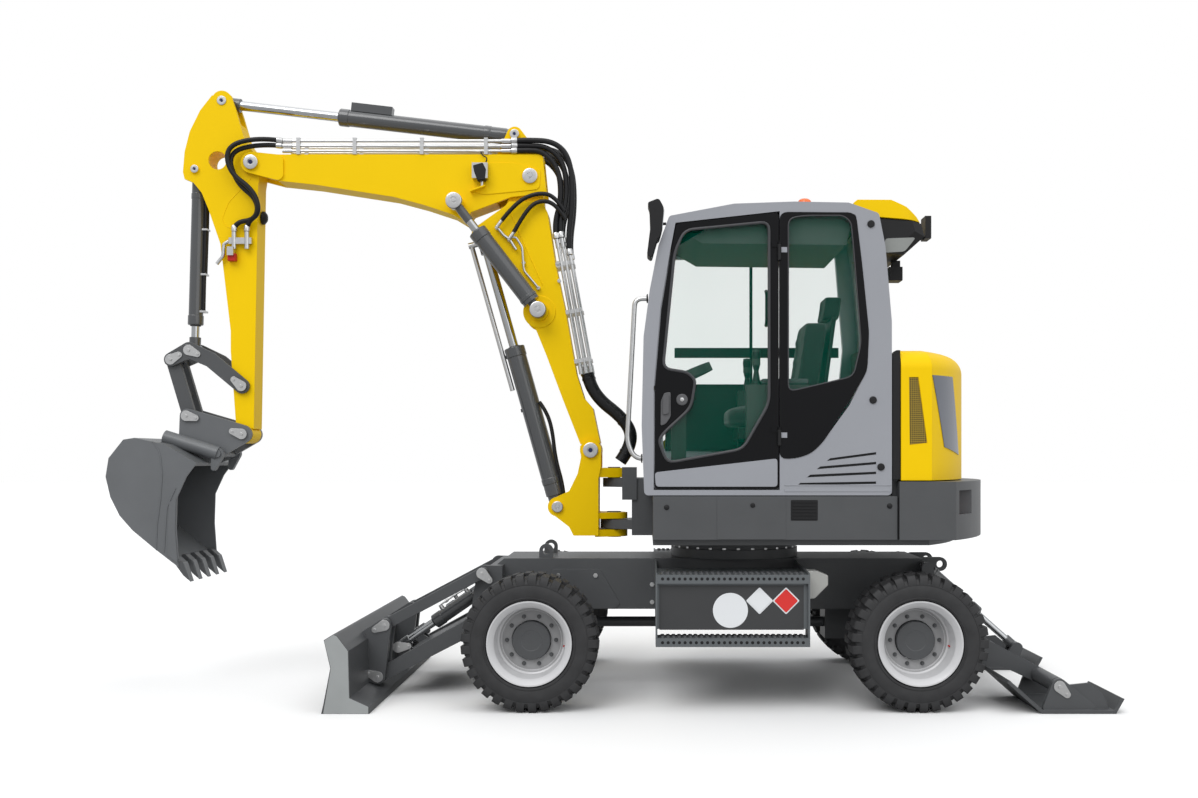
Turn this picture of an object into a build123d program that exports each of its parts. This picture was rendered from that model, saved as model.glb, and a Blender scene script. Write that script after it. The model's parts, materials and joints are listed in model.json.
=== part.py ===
from build123d import *
import os
from math import hypot, radians

# Wheeled excavator, millimetres. The machine faces -X, its left side with the cab is -Y,
# and it stands on the plane Z = 0. A side outline is a list of (x, z) points.

# Clearances
RUNNING_FIT = 0.5
SEAT_GAP = 0.3
PANEL_GAP = 6

# Wheels and axles
MACHINE_HALF_WIDTH = 1000
TYRE_RADIUS = 395
TYRE_WIDTH = 300
TREAD_DEPTH = 22
LUG_COUNT = 33
LUG_SHARE = 0.66
RIM_RADIUS = 222
RIM_FLANGE_RADIUS = 245
HUB_RECESS = 175
HUB_RADIUS = 120
FRONT_AXLE_X = -350
WHEELBASE = 2230
REAR_AXLE_X = FRONT_AXLE_X + WHEELBASE
AXLE_RADIUS = 78
KINGPIN_OFFSET = MACHINE_HALF_WIDTH - 388
BRAKE_INNER = MACHINE_HALF_WIDTH - 335
BRAKE_OUTER = MACHINE_HALF_WIDTH - 265
KNUCKLE_HALF_HEIGHT = 68
SPINDLE_RADIUS = 45

# Chassis
FRAME_HALF_WIDTH = 285
FRAME_BOTTOM = 510
FRAME_TOP = 826
FRAME_FRONT = -640
FRAME_REAR = 2110
CHEEK = 40

# Step boxes
STEP_FRONT = 381
STEP_REAR = 1239
STEP_BOTTOM = 380
STEP_DEPTH = 140
END_PLATE = 10

# Tie-down eyes on the frame
EYE_HOLE = 22
EYE_RADIUS = 44
EYE_THICKNESS = 30
EYE_Y = 200
FRONT_EYE = (-314, 868)
REAR_EYE = (2172, 784)

# Slewing ring
SLEW_X = 886
RING_RADIUS = 407
RING_BORE = 320
RING_TOP = 950

# Dozer blade and its parallel linkage
BLADE_LOWER_PIVOT = (-725, 437)
BLADE_UPPER_PIVOT = (-685, 750)
BLADE_LOWER_REACH = (-589, -312)
BLADE_CYLINDER_BASE = (-721, 624)
BLADE_CYLINDER_EYE = (-1222, 279)
BLADE_ARM_INNER = 395
BLADE_ARM_WIDTH = 70
BLADE_CYLINDER_Y = 290
BLADE_PIN = 22

# Rear stabilisers
LEG_PIVOT = (2066, 450)
LEG_Y = MACHINE_HALF_WIDTH / 2
LEG_WIDTH = 90
LEG_LUG = 26
FOOT_PIVOT = (2674, 151)
FOOT_INNER = LEG_Y - 40
FOOT_TIP_X = 3036
SLEEVE_END = MACHINE_HALF_WIDTH - 60
STABILISER_CYLINDER_BASE = (2040, 780)
STABILISER_CYLINDER_EYE = (2590, 290)
STABILISER_CYLINDER_Y = 390

# House
HOUSE_HALF_WIDTH = 955
FLOOR_BOTTOM = RING_TOP
FLOOR_TOP = 1010
DECK_TOP = 1240
HOUSE_FRONT = 356
HOOD_FRONT = 1775
HOOD_RADIUS = 1430
HOOD_BOTTOM = 1326
HOOD_TOP = 2076
COUNTERWEIGHT_RADIUS = 1545
COUNTERWEIGHT_BOTTOM = 985
SHEET = 30

# Cab
CAB_LEFT = -950
CAB_RIGHT = 30
CAB_WALL = 45
CAB_FLOOR = DECK_TOP + SEAT_GAP
GLASS = 6
UNIT_INSET = 90
RAIL_Y = -905
RAIL_RADIUS = 14
MIRROR_Y = -915
BEACON = (1280, -500, 2921.2)
VENT_ROWS = 4
VENT_FRONT = (1350, 1437)
VENT_FRONT_STEP = (57, 47)
VENT_BACK = (1633, 1474)
VENT_BACK_STEP = 56
VENT_HEIGHT = 14

# Door and hood hinges
HINGE_RADIUS = 10
HINGE_PIN = 4
HINGE_LENGTH = 60
LEAF_LENGTH = 45
LEAF_THICKNESS = 7
DOOR_HINGE_X = 1078
DOOR_HINGE_LEVELS = (1570, 2630)
HOOD_HINGE_X = 1768
HOOD_HINGE_LEVELS = (1420, 1740)

# Pipes and hoses of the booms
BOOM_TOP = 3396
LINE_LEVELS = (3420, 3452, 3484)
LINE_Y = 99
LINE_FRONT = -2010
LINE_BACK = -548
PIPE_RADIUS = 10
HOSE_RADIUS = 13
CLAMPS = (-1920, -1560, -1130, -720)
# Columns: start along the lower boom's back line, and distance behind it
BACK_LINES = ((0, 31), (0, 64), (118, 97))
# Columns: place along that line, and distance of the clamp's foot behind it
BACK_CLAMPS = ((150, -4.3), (460, 3.8), (780, 1))
HOSE_REACHES = (-236, -198, -160)
HOSE_BENDS = (105, 75, 60)
SLEEVE_Y = 58
SLEEVE_RADIUS = 40
SLEEVE_BENDS = (90, 100, 70)
ARM_HOSE_RADIUS = 13
ARM_HOSE_BENDS = (60, 60, 90, 90, 60)
ARM_HOSES = (
    [(-2010.3, -99, 3452), (-2080, -99, 3452), (-2210, -116, 3500), (-2372, -128, 3360), (-2200, -128, 3080),
     (-2318, -111.3, 2990), (-2318, -111.3, 2900.3)],
    [(-2010.3, -99, 3484), (-2070, -99, 3484), (-2190, -150, 3545), (-2345, -158, 3380), (-2120, -158, 3060),
     (-2236, -111.3, 2970), (-2236, -111.3, 2900.3)],
)

# Swing post
KING_PIN_X = 109
KING_PIN_RADIUS = 45
KING_LUG_RADIUS = 95
BRACKET_HALF_WIDTH = 140
BRACKET_BACK = 13

# Boom, arm and bucket pivots
BOOM_FOOT = (-37, 1504)
LIFT_FOOT = (-248, 1143)
LIFT_HEAD = (-739, 2881)
KNUCKLE = (-426, 3257)
ADJUST_FOOT = (-366, 2389)
ADJUST_HEAD = (-895, 3075)
ARM_CYLINDER_FOOT = (-527, 3530)
ARM_CYLINDER_HEAD = (-2406, 3747)
ARM_PIVOT = (-2206, 3342)
ARM_HOLE = (-2433, 3363)
ARM_HOLE_RADIUS = 58
BUCKET_CYLINDER_FOOT = (-2576, 3306)
BUCKET_CYLINDER_HEAD = (-2608, 2144)
ROCKER_PIVOT = (-2269, 1914)
ROCKER_CREST = (-2470, 2082)
LINK_TOP = (-2724, 2084)
LINK_BOTTOM = (-2616, 1723)
BUCKET_PIVOT = (-2263, 1607)
BOOM_HALF_WIDTH = 105
HEAD_HALF_WIDTH = 70
ARM_HALF_WIDTH = 85
FORK_CHEEK = 30
PIN_RADIUS = 30
PIN_CAP = 12
CAP_RADIUS = 48
ADJUST_Y = 200
BUCKET_HALF_WIDTH = 350
BUCKET_WALL = 14
SADDLE_Y = 165
SADDLE_RADIUS = 44
TOOTH_COUNT = 5

os.makedirs("parts", exist_ok=True)


# Shapes that every sub-part uses
def side_plate(points, y_low, y_high, radius=0, mode=Mode.ADD):
    """A side outline of (x, z) points, as thick as the space between two y planes."""
    with BuildSketch(Plane.XZ.offset(-y_high)) as outline:
        with BuildLine():
            Polyline(*points, close=True)
        make_face()
        if radius:
            fillet(outline.vertices(), radius)
    extrude(outline.sketch, amount=y_high - y_low, mode=mode)


def side_link(ends, y_low, y_high, mode=Mode.ADD):
    """A plate whose outline wraps round discs given as (x, z, radius)."""
    with BuildSketch(Plane.XZ.offset(-y_high)) as outline:
        for x, z, radius in ends:
            with Locations((x, z)):
                Circle(radius)
        make_hull()
    extrude(outline.sketch, amount=y_high - y_low, mode=mode)


def cross_pin(centre, radius, y_low, y_high, mode=Mode.ADD):
    """A cylinder along Y about an (x, z) centre."""
    with BuildSketch(Plane.XZ.offset(-y_high)) as disc:
        with Locations(centre):
            Circle(radius)
    extrude(disc.sketch, amount=y_high - y_low, mode=mode)


def block(x_low, x_high, y_low, y_high, z_low, z_high, mode=Mode.ADD):
    """A box between its low and high corners."""
    centre = ((x_low + x_high) / 2, (y_low + y_high) / 2, (z_low + z_high) / 2)
    with Locations(centre):
        Box(x_high - x_low, y_high - y_low, z_high - z_low, mode=mode)


def rod_between(start, end, y_centre, radius, from_start=0, to_end=None, mode=Mode.ADD):
    """A cylinder along the line between two (x, z) points, cut to a stretch of it."""
    run_x = end[0] - start[0]
    run_z = end[1] - start[1]
    length = hypot(run_x, run_z)
    stop = length if to_end is None else to_end
    origin = (start[0] + run_x * from_start / length, y_centre, start[1] + run_z * from_start / length)
    with BuildSketch(Plane(origin=origin, z_dir=(run_x, 0, run_z))) as disc:
        Circle(radius)
    extrude(disc.sketch, amount=stop - from_start, mode=mode)


def tube(points, radius, bends, mode=Mode.ADD):
    """A round bar along straight runs of (x, y, z) points joined by tangent arcs."""
    with BuildLine() as route:
        FilletPolyline(*points, radius=bends)
    with BuildSketch(Plane(origin=route.line @ 0, z_dir=route.line % 0)) as ring:
        Circle(radius)
    sweep(ring.sketch, path=route.line, mode=mode)


def along(start, end, distance, aside=0):
    """The (x, z) point at a distance along a line, and a little to its left."""
    length = hypot(end[0] - start[0], end[1] - start[1])
    unit_x = (end[0] - start[0]) / length
    unit_z = (end[1] - start[1]) / length
    return (start[0] + unit_x * distance - unit_z * aside, start[1] + unit_z * distance + unit_x * aside)


def hinge_half(axis_x, face_y, level, reach, carries_pin):
    """One leaf and knuckle of a hinge whose upright axis stands just off a side face."""
    outward = 1 if face_y > 0 else -1
    axis_y = face_y + outward * HINGE_RADIUS
    low = level if carries_pin else level + HINGE_LENGTH / 2 + SEAT_GAP
    high = level + HINGE_LENGTH / 2 if carries_pin else level + HINGE_LENGTH
    with Locations((axis_x, axis_y, (low + high) / 2)):
        Cylinder(HINGE_RADIUS, high - low)
    block(*sorted((axis_x + reach * HINGE_RADIUS * 0.7, axis_x + reach * LEAF_LENGTH)),
          *sorted((face_y, face_y + outward * LEAF_THICKNESS)), low, high)
    with Locations((axis_x, axis_y, level + HINGE_LENGTH / 2)):
        if carries_pin:
            Cylinder(HINGE_PIN, HINGE_LENGTH)
        else:
            Cylinder(HINGE_PIN + SEAT_GAP, HINGE_LENGTH + 4, mode=Mode.SUBTRACT)


def save(piece, name):
    """Label a finished piece and write it as its own file."""
    piece.part.label = name
    export_step(piece.part, "parts/" + name + ".step")


# Wheels: a rim with its disc and hub, and a block-lugged tyre
def make_wheel(name, axle_x, side):
    outer = MACHINE_HALF_WIDTH
    inner = outer - TYRE_WIDTH
    hub_face = outer - HUB_RECESS
    axle = Axis((axle_x, 0, TYRE_RADIUS), (0, 1, 0))
    rim_profile = [
        (RIM_FLANGE_RADIUS, inner + 6), (RIM_FLANGE_RADIUS, inner + 20), (RIM_RADIUS, inner + 34),
        (RIM_RADIUS, outer - 34), (RIM_FLANGE_RADIUS, outer - 20), (RIM_FLANGE_RADIUS, outer - 6),
        (RIM_FLANGE_RADIUS - 14, outer - 6), (RIM_RADIUS - 14, outer - 34),
        (RIM_RADIUS - 14, hub_face + 20), (165, hub_face), (HUB_RADIUS, hub_face),
        (HUB_RADIUS, hub_face + 28), (0, hub_face + 36), (0, hub_face - 28),
        (150, hub_face - 28), (175, hub_face - 12), (RIM_RADIUS - 24, hub_face + 6),
        (RIM_RADIUS - 24, inner + 34), (RIM_FLANGE_RADIUS - 20, inner + 6),
    ]
    with BuildPart() as rim:
        with BuildSketch(Plane.YZ.offset(axle_x)) as profile:
            with BuildLine():
                Polyline(*[(side * y, TYRE_RADIUS + r) for r, y in rim_profile], close=True)
            make_face()
        revolve(profile.sketch, axis=axle)
    save(rim, "rim_" + name)

    body_radius = TYRE_RADIUS - TREAD_DEPTH
    bead = RIM_RADIUS + RUNNING_FIT
    tyre_profile = [
        (bead, inner + 37), (RIM_FLANGE_RADIUS, inner + 22), (RIM_FLANGE_RADIUS + 6, inner + 8),
        (RIM_FLANGE_RADIUS + 55, inner), (body_radius - 20, inner + 2), (body_radius, inner + 22),
        (body_radius, outer - 22), (body_radius - 20, outer - 2), (RIM_FLANGE_RADIUS + 55, outer),
        (RIM_FLANGE_RADIUS + 6, outer - 8), (RIM_FLANGE_RADIUS, outer - 22), (bead, outer - 37),
    ]
    pitch = 360 / LUG_COUNT
    with BuildPart() as tyre:
        with BuildSketch(Plane.YZ.offset(axle_x)) as profile:
            with BuildLine():
                Polyline(*[(side * y, TYRE_RADIUS + r) for r, y in tyre_profile], close=True)
            make_face()
        revolve(profile.sketch, axis=axle)
        lug_y = side * (inner + outer) / 2
        lug_length = radians(pitch) * LUG_SHARE * TYRE_RADIUS
        with Locations(Plane(origin=(axle_x, lug_y, TYRE_RADIUS), z_dir=(0, 1, 0), x_dir=(1, 0, 0))):
            with PolarLocations(TYRE_RADIUS - (TREAD_DEPTH + 8) / 2, LUG_COUNT, start_angle=90):
                Box(TREAD_DEPTH + 8, lug_length, TYRE_WIDTH - 36)
    save(tyre, "tyre_" + name)


for wheel_name, wheel_x, wheel_side in (
    ("front_left", FRONT_AXLE_X, -1), ("front_right", FRONT_AXLE_X, 1),
    ("rear_left", REAR_AXLE_X, -1), ("rear_right", REAR_AXLE_X, 1),
):
    make_wheel(wheel_name, wheel_x, wheel_side)

# Front axle: housing, differential and the yokes that hold the knuckles
yoke_gap = KNUCKLE_HALF_HEIGHT + RUNNING_FIT
with BuildPart() as front_axle:
    yoke_y = KINGPIN_OFFSET - 82
    cross_pin((FRONT_AXLE_X, TYRE_RADIUS), AXLE_RADIUS - 8, 10 - yoke_y, yoke_y - 10)
    cross_pin((FRONT_AXLE_X, TYRE_RADIUS), 112, -130, 130)
    block(FRONT_AXLE_X - 90, FRONT_AXLE_X + 90, -230, 230, TYRE_RADIUS + 40, FRAME_BOTTOM - SEAT_GAP)
    for side in (-1, 1):
        block(FRONT_AXLE_X - 60, FRONT_AXLE_X + 60, side * yoke_y - 30, side * yoke_y + 30,
              TYRE_RADIUS - yoke_gap - 26, TYRE_RADIUS + yoke_gap + 26)
        for level in (TYRE_RADIUS - yoke_gap - 26, TYRE_RADIUS + yoke_gap):
            with BuildSketch(Plane.XY.offset(level)) as lug:
                with Locations((FRONT_AXLE_X, side * KINGPIN_OFFSET)):
                    Circle(48)
                with Locations((FRONT_AXLE_X, side * (yoke_y + 15))):
                    Rectangle(110, 30)
                make_hull()
            extrude(lug.sketch, amount=26)
            with BuildSketch(Plane.XY.offset(level)) as bore:
                with Locations((FRONT_AXLE_X, side * KINGPIN_OFFSET)):
                    Circle(22 + RUNNING_FIT)
            extrude(bore.sketch, amount=26, mode=Mode.SUBTRACT)
save(front_axle, "front_axle")

# Steering knuckles
hub_back = MACHINE_HALF_WIDTH - HUB_RECESS - 28
for side, name in ((-1, "left"), (1, "right")):
    with BuildPart() as knuckle:
        with Locations((FRONT_AXLE_X, side * KINGPIN_OFFSET, TYRE_RADIUS)):
            Cylinder(44, 2 * KNUCKLE_HALF_HEIGHT)
            Cylinder(22, 2 * (yoke_gap + 26))
        spindle_ends = sorted((side * KINGPIN_OFFSET, side * (hub_back - SEAT_GAP)))
        cross_pin((FRONT_AXLE_X, TYRE_RADIUS), SPINDLE_RADIUS, *spindle_ends)
        disc_ends = sorted((side * BRAKE_INNER, side * BRAKE_OUTER))
        cross_pin((FRONT_AXLE_X, TYRE_RADIUS), 105, *disc_ends)
    save(knuckle, "front_knuckle_" + name)

# Rear axle with the gearbox and the shaft to the front axle
with BuildPart() as rear_axle:
    cross_pin((REAR_AXLE_X, TYRE_RADIUS), AXLE_RADIUS, -(hub_back - SEAT_GAP), hub_back - SEAT_GAP)
    cross_pin((REAR_AXLE_X, TYRE_RADIUS), 112, -130, 130)
    for side in (-1, 1):
        disc_ends = sorted((side * BRAKE_INNER, side * BRAKE_OUTER))
        cross_pin((REAR_AXLE_X, TYRE_RADIUS), 120, *disc_ends)
        pad_ends = sorted((side * 170, side * 260))
        block(REAR_AXLE_X - 80, REAR_AXLE_X + 80, *pad_ends, TYRE_RADIUS + 40, FRAME_BOTTOM - SEAT_GAP)
    block(REAR_AXLE_X - 420, REAR_AXLE_X - 60, -110, 110, 300, FRAME_BOTTOM - SEAT_GAP)
    rod_between((FRONT_AXLE_X + 112 + SEAT_GAP, TYRE_RADIUS), (REAR_AXLE_X - 400, TYRE_RADIUS), 0, 32)
save(rear_axle, "rear_axle")

# Chassis frame with the pivots for blade and stabilisers
cheek_inner = BLADE_ARM_INNER - RUNNING_FIT - CHEEK
with BuildPart() as chassis_frame:
    side_plate(
        [(FRAME_FRONT, 560), (FRAME_FRONT, 770), (-570, FRAME_TOP), (2050, FRAME_TOP),
         (FRAME_REAR, 770), (FRAME_REAR, 560), (2050, FRAME_BOTTOM), (-570, FRAME_BOTTOM)],
        -FRAME_HALF_WIDTH, FRAME_HALF_WIDTH)
    block(FRAME_FRONT - 10, FRAME_FRONT + 70, -cheek_inner - CHEEK, cheek_inner + CHEEK, 420, 790)
    beam_end = LEG_Y + LEG_WIDTH + LEG_LUG + 4
    block(2000, 2090, -beam_end, beam_end, 545, 650)
    for side in (-1, 1):
        cheek = sorted((side * cheek_inner, side * (cheek_inner + CHEEK)))
        side_link([(*BLADE_LOWER_PIVOT, 48), (*BLADE_UPPER_PIVOT, 42), (FRAME_FRONT + 20, 450, 30),
                   (FRAME_FRONT + 20, 760, 30)], *cheek)
        pin_end = BLADE_ARM_INNER + BLADE_ARM_WIDTH + 12
        stub = sorted((side * cheek_inner, side * pin_end))
        cross_pin(BLADE_LOWER_PIVOT, BLADE_PIN, *stub)
        cross_pin(BLADE_UPPER_PIVOT, BLADE_PIN, *stub)
        cylinder_ears = [(BLADE_CYLINDER_Y - 52, BLADE_CYLINDER_Y - 28), (BLADE_CYLINDER_Y + 28, BLADE_CYLINDER_Y + 52)]
        for near, far in cylinder_ears:
            side_link([(*BLADE_CYLINDER_BASE, 34), (FRAME_FRONT + 20, 660, 30), (FRAME_FRONT + 20, 590, 30)],
                      *sorted((side * near, side * far)))
        cross_pin(BLADE_CYLINDER_BASE, 18, *sorted((side * (BLADE_CYLINDER_Y - 52), side * (BLADE_CYLINDER_Y + 52))))
        for near, far in ((LEG_Y - LEG_LUG, LEG_Y - 1), (LEG_Y + LEG_WIDTH + 1, LEG_Y + LEG_WIDTH + LEG_LUG)):
            side_link([(*LEG_PIVOT, 55), (2050, 600, 45), (2080, 600, 40)], *sorted((side * near, side * far)))
        cross_pin(LEG_PIVOT, 26, *sorted((side * (LEG_Y - LEG_LUG), side * (LEG_Y + LEG_WIDTH + LEG_LUG))))
        for near, far in ((STABILISER_CYLINDER_Y - 64, STABILISER_CYLINDER_Y - 44),
                          (STABILISER_CYLINDER_Y + 44, STABILISER_CYLINDER_Y + 64)):
            side_link([(*STABILISER_CYLINDER_BASE, 36), (2055, 600, 45)], *sorted((side * near, side * far)))
        cross_pin(STABILISER_CYLINDER_BASE, 18,
                  *sorted((side * (STABILISER_CYLINDER_Y - 64), side * (STABILISER_CYLINDER_Y + 64))))
    for centre, root in ((FRONT_EYE, (FRONT_EYE[0], FRAME_TOP)), (REAR_EYE, (FRAME_REAR - 30, REAR_EYE[1]))):
        for y in (-EYE_Y, EYE_Y):
            side_link([(*centre, EYE_RADIUS), (*root, EYE_RADIUS)], y - EYE_THICKNESS / 2, y + EYE_THICKNESS / 2)
            cross_pin(centre, EYE_HOLE, y - EYE_THICKNESS, y + EYE_THICKNESS, mode=Mode.SUBTRACT)
save(chassis_frame, "chassis_frame")

# Tool and fuel boxes with their steps, one on each side
with BuildPart() as step_boxes:
    for side in (-1, 1):
        outer = MACHINE_HALF_WIDTH
        box_inner = outer - 400
        block(STEP_FRONT, STEP_REAR, *sorted((side * box_inner, side * (outer - 30))), 479, 740)
        block(STEP_FRONT, STEP_REAR, *sorted((side * (box_inner - 10), side * outer)), 740, 790)
        block(STEP_FRONT, STEP_REAR, *sorted((side * (outer - STEP_DEPTH), side * outer)), STEP_BOTTOM, STEP_BOTTOM + 50)
        for x_low in (STEP_FRONT - END_PLATE, STEP_REAR):
            with BuildSketch(Plane.YZ.offset(x_low)) as end_plate:
                with BuildLine():
                    Polyline(*[(side * y, z) for y, z in (
                        (FRAME_HALF_WIDTH + SEAT_GAP, FRAME_TOP - 6), (outer, 798), (outer, STEP_BOTTOM),
                        (outer - STEP_DEPTH, STEP_BOTTOM), (outer - STEP_DEPTH, 470), (box_inner, 479),
                        (FRAME_HALF_WIDTH + SEAT_GAP, FRAME_BOTTOM + 40))], close=True)
                make_face()
            extrude(end_plate.sketch, amount=END_PLATE)
        for x_low in (500, 1040):
            block(x_low, x_low + 80, *sorted((side * (FRAME_HALF_WIDTH + SEAT_GAP), side * box_inner)), 560, 720)
        side_plate([(STEP_REAR, 635), (1296, 640), (1372, 716), (1372, 770), (1310, 795), (STEP_REAR, 795)],
                   *sorted((side * (outer - 300), side * (outer - 160))))
save(step_boxes, "step_boxes")

# Slewing ring, lower race
with BuildPart() as slew_ring:
    with BuildSketch(Plane.XY.offset(FRAME_TOP + SEAT_GAP)) as race:
        with Locations((SLEW_X, 0)):
            Circle(RING_RADIUS)
            Circle(RING_BORE, mode=Mode.SUBTRACT)
    extrude(race.sketch, amount=60)
save(slew_ring, "slew_ring")

# Dozer blade: lower arms with a cross box, blade board with ears, and upper links
blade_foot = (BLADE_LOWER_PIVOT[0] + BLADE_LOWER_REACH[0], BLADE_LOWER_PIVOT[1] + BLADE_LOWER_REACH[1])
blade_head = (BLADE_UPPER_PIVOT[0] + BLADE_LOWER_REACH[0], BLADE_UPPER_PIVOT[1] + BLADE_LOWER_REACH[1])
with BuildPart() as blade_arms:
    for side in (-1, 1):
        arm_band = sorted((side * BLADE_ARM_INNER, side * (BLADE_ARM_INNER + BLADE_ARM_WIDTH)))
        side_link([(*BLADE_LOWER_PIVOT, 50), (*blade_foot, 42)], *arm_band)
        for centre in (BLADE_LOWER_PIVOT, blade_foot):
            cross_pin(centre, BLADE_PIN + RUNNING_FIT, *arm_band, mode=Mode.SUBTRACT)
        for near, far in ((-52, -28), (28, 52)):
            ear = sorted((side * (BLADE_CYLINDER_Y + near), side * (BLADE_CYLINDER_Y + far)))
            root = along(BLADE_LOWER_PIVOT, blade_foot, 470)
            side_link([(*BLADE_CYLINDER_EYE, 30), (*root, 30)], *ear)
    side_plate(
        [along(BLADE_LOWER_PIVOT, blade_foot, 120, 32), along(BLADE_LOWER_PIVOT, blade_foot, 520, 32),
         along(BLADE_LOWER_PIVOT, blade_foot, 520, -32), along(BLADE_LOWER_PIVOT, blade_foot, 120, -32)],
        -BLADE_ARM_INNER, BLADE_ARM_INNER)
save(blade_arms, "blade_arms")

with BuildPart() as blade_board:
    side_plate(
        [(-1515, 419), (-1460, 453), (-1439, 444), (-1374, 358), (-1367, 92), (-1257, 43),
         (-1257, 0), (-1528, 0), (-1478, 259)],
        -MACHINE_HALF_WIDTH, MACHINE_HALF_WIDTH)
    for side in (-1, 1):
        for near, far in ((-45, -5), (BLADE_ARM_WIDTH + 5, BLADE_ARM_WIDTH + 45)):
            ear = sorted((side * (BLADE_ARM_INNER + near), side * (BLADE_ARM_INNER + far)))
            side_link([(*blade_foot, 44), (*blade_head, 40), (-1400, 130, 20), (-1400, 380, 20)], *ear)
        pin_band = sorted((side * (BLADE_ARM_INNER - 45), side * (BLADE_ARM_INNER + BLADE_ARM_WIDTH + 45)))
        cross_pin(blade_foot, BLADE_PIN, *pin_band)
        cross_pin(blade_head, BLADE_PIN, *pin_band)
save(blade_board, "blade_board")

with BuildPart() as blade_links:
    for side in (-1, 1):
        link_band = sorted((side * (BLADE_ARM_INNER + 12), side * (BLADE_ARM_INNER + BLADE_ARM_WIDTH - 12)))
        side_link([(*BLADE_UPPER_PIVOT, 34), (*blade_head, 34)], *link_band)
        for centre in (BLADE_UPPER_PIVOT, blade_head):
            cross_pin(centre, BLADE_PIN + RUNNING_FIT, *link_band, mode=Mode.SUBTRACT)
save(blade_links, "blade_links")


# Hydraulic cylinders: a barrel with its foot eye, and a rod with its piston and head eye
def make_cylinder(name, foot, head, offsets, radius, rod_radius, barrel_length, rod_length, eye, pin_radius):
    eye_radius, eye_half_width = eye
    length = hypot(head[0] - foot[0], head[1] - foot[1])
    bore = radius - 11
    with BuildPart() as barrel:
        for y in offsets:
            cross_pin(foot, eye_radius, y - eye_half_width, y + eye_half_width)
            rod_between(foot, head, y, eye_half_width * 0.95, eye_radius * 0.6, eye_radius + 14)
            rod_between(foot, head, y, radius, eye_radius + 13, barrel_length)
            cross_pin(foot, pin_radius + RUNNING_FIT, y - radius, y + radius, mode=Mode.SUBTRACT)
            rod_between(foot, head, y, bore, eye_radius + 30, barrel_length - 40, mode=Mode.SUBTRACT)
            rod_between(foot, head, y, rod_radius + RUNNING_FIT, eye_radius + 30, barrel_length + 1,
                        mode=Mode.SUBTRACT)
        if name == "arm_cylinder":
            block_foot = along(foot, head, barrel_length - 335)
            block_head = along(foot, head, barrel_length - 70)
            side_plate([along(block_foot, block_head, 0, -radius + 8), along(block_foot, block_head, 265, -radius + 8),
                        along(block_foot, block_head, 265, -radius - 46), along(block_foot, block_head, 0, -radius - 46)],
                       -34, 34)
    save(barrel, name + "_barrel" + ("s" if len(offsets) > 1 else ""))
    with BuildPart() as rod:
        for y in offsets:
            rod_between(foot, head, y, rod_radius, length - rod_length, length - eye_radius * 0.6)
            rod_between(foot, head, y, bore - RUNNING_FIT, length - rod_length, length - rod_length + 30)
            cross_pin(head, eye_radius, y - eye_half_width, y + eye_half_width)
            cross_pin(head, pin_radius + RUNNING_FIT, y - eye_half_width, y + eye_half_width,
                      mode=Mode.SUBTRACT)
    save(rod, name + "_rod" + ("s" if len(offsets) > 1 else ""))


# Columns: name, foot, head, y of each, radius, rod radius, barrel and rod lengths, eye, pin radius
for cylinder in (
    ("blade_cylinder", BLADE_CYLINDER_BASE, BLADE_CYLINDER_EYE, (-BLADE_CYLINDER_Y, BLADE_CYLINDER_Y),
     42, 22, 340, 400, (32, 25), 18),
    ("stabiliser_cylinder", STABILISER_CYLINDER_BASE, STABILISER_CYLINDER_EYE,
     (-STABILISER_CYLINDER_Y, STABILISER_CYLINDER_Y), 40, 20, 425, 400, (32, 28), 18),
    ("lift_cylinder", LIFT_FOOT, LIFT_HEAD, (0,), 63, 30, 1065, 1230, (62, 58), PIN_RADIUS),
    ("adjust_cylinder", ADJUST_FOOT, ADJUST_HEAD, (-ADJUST_Y, ADJUST_Y), 57, 25, 628, 690, (52, 30), 25),
    ("arm_cylinder", ARM_CYLINDER_FOOT, ARM_CYLINDER_HEAD, (0,), 52, 30, 1145, 1180, (52, 52), 28),
    ("bucket_cylinder", BUCKET_CYLINDER_FOOT, BUCKET_CYLINDER_HEAD, (0,), 45, 25, 990, 850, (46, 42), 24),
):
    make_cylinder(*cylinder)

# Rear stabilisers: legs joined by a cross tube, and the swinging feet
with BuildPart() as stabiliser_legs:
    tube_centre = along(LEG_PIVOT, FOOT_PIVOT, 540)
    cross_pin(tube_centre, 40, -LEG_Y, LEG_Y)
    for side in (-1, 1):
        leg_band = sorted((side * LEG_Y, side * (LEG_Y + LEG_WIDTH)))
        side_link([(*LEG_PIVOT, 60), (*FOOT_PIVOT, 46)], *leg_band)
        cross_pin(FOOT_PIVOT, 46, *sorted((side * LEG_Y, side * SLEEVE_END)))
        cross_pin(FOOT_PIVOT, 25 + RUNNING_FIT, *sorted((side * LEG_Y, side * SLEEVE_END)), mode=Mode.SUBTRACT)
        cross_pin(LEG_PIVOT, 26 + RUNNING_FIT, *leg_band, mode=Mode.SUBTRACT)
        for near, far in ((-56, -32), (32, 56)):
            ear = sorted((side * (STABILISER_CYLINDER_Y + near), side * (STABILISER_CYLINDER_Y + far)))
            side_link([(*STABILISER_CYLINDER_EYE, 34), (*tube_centre, 42)], *ear)
save(stabiliser_legs, "stabiliser_legs")

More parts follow.
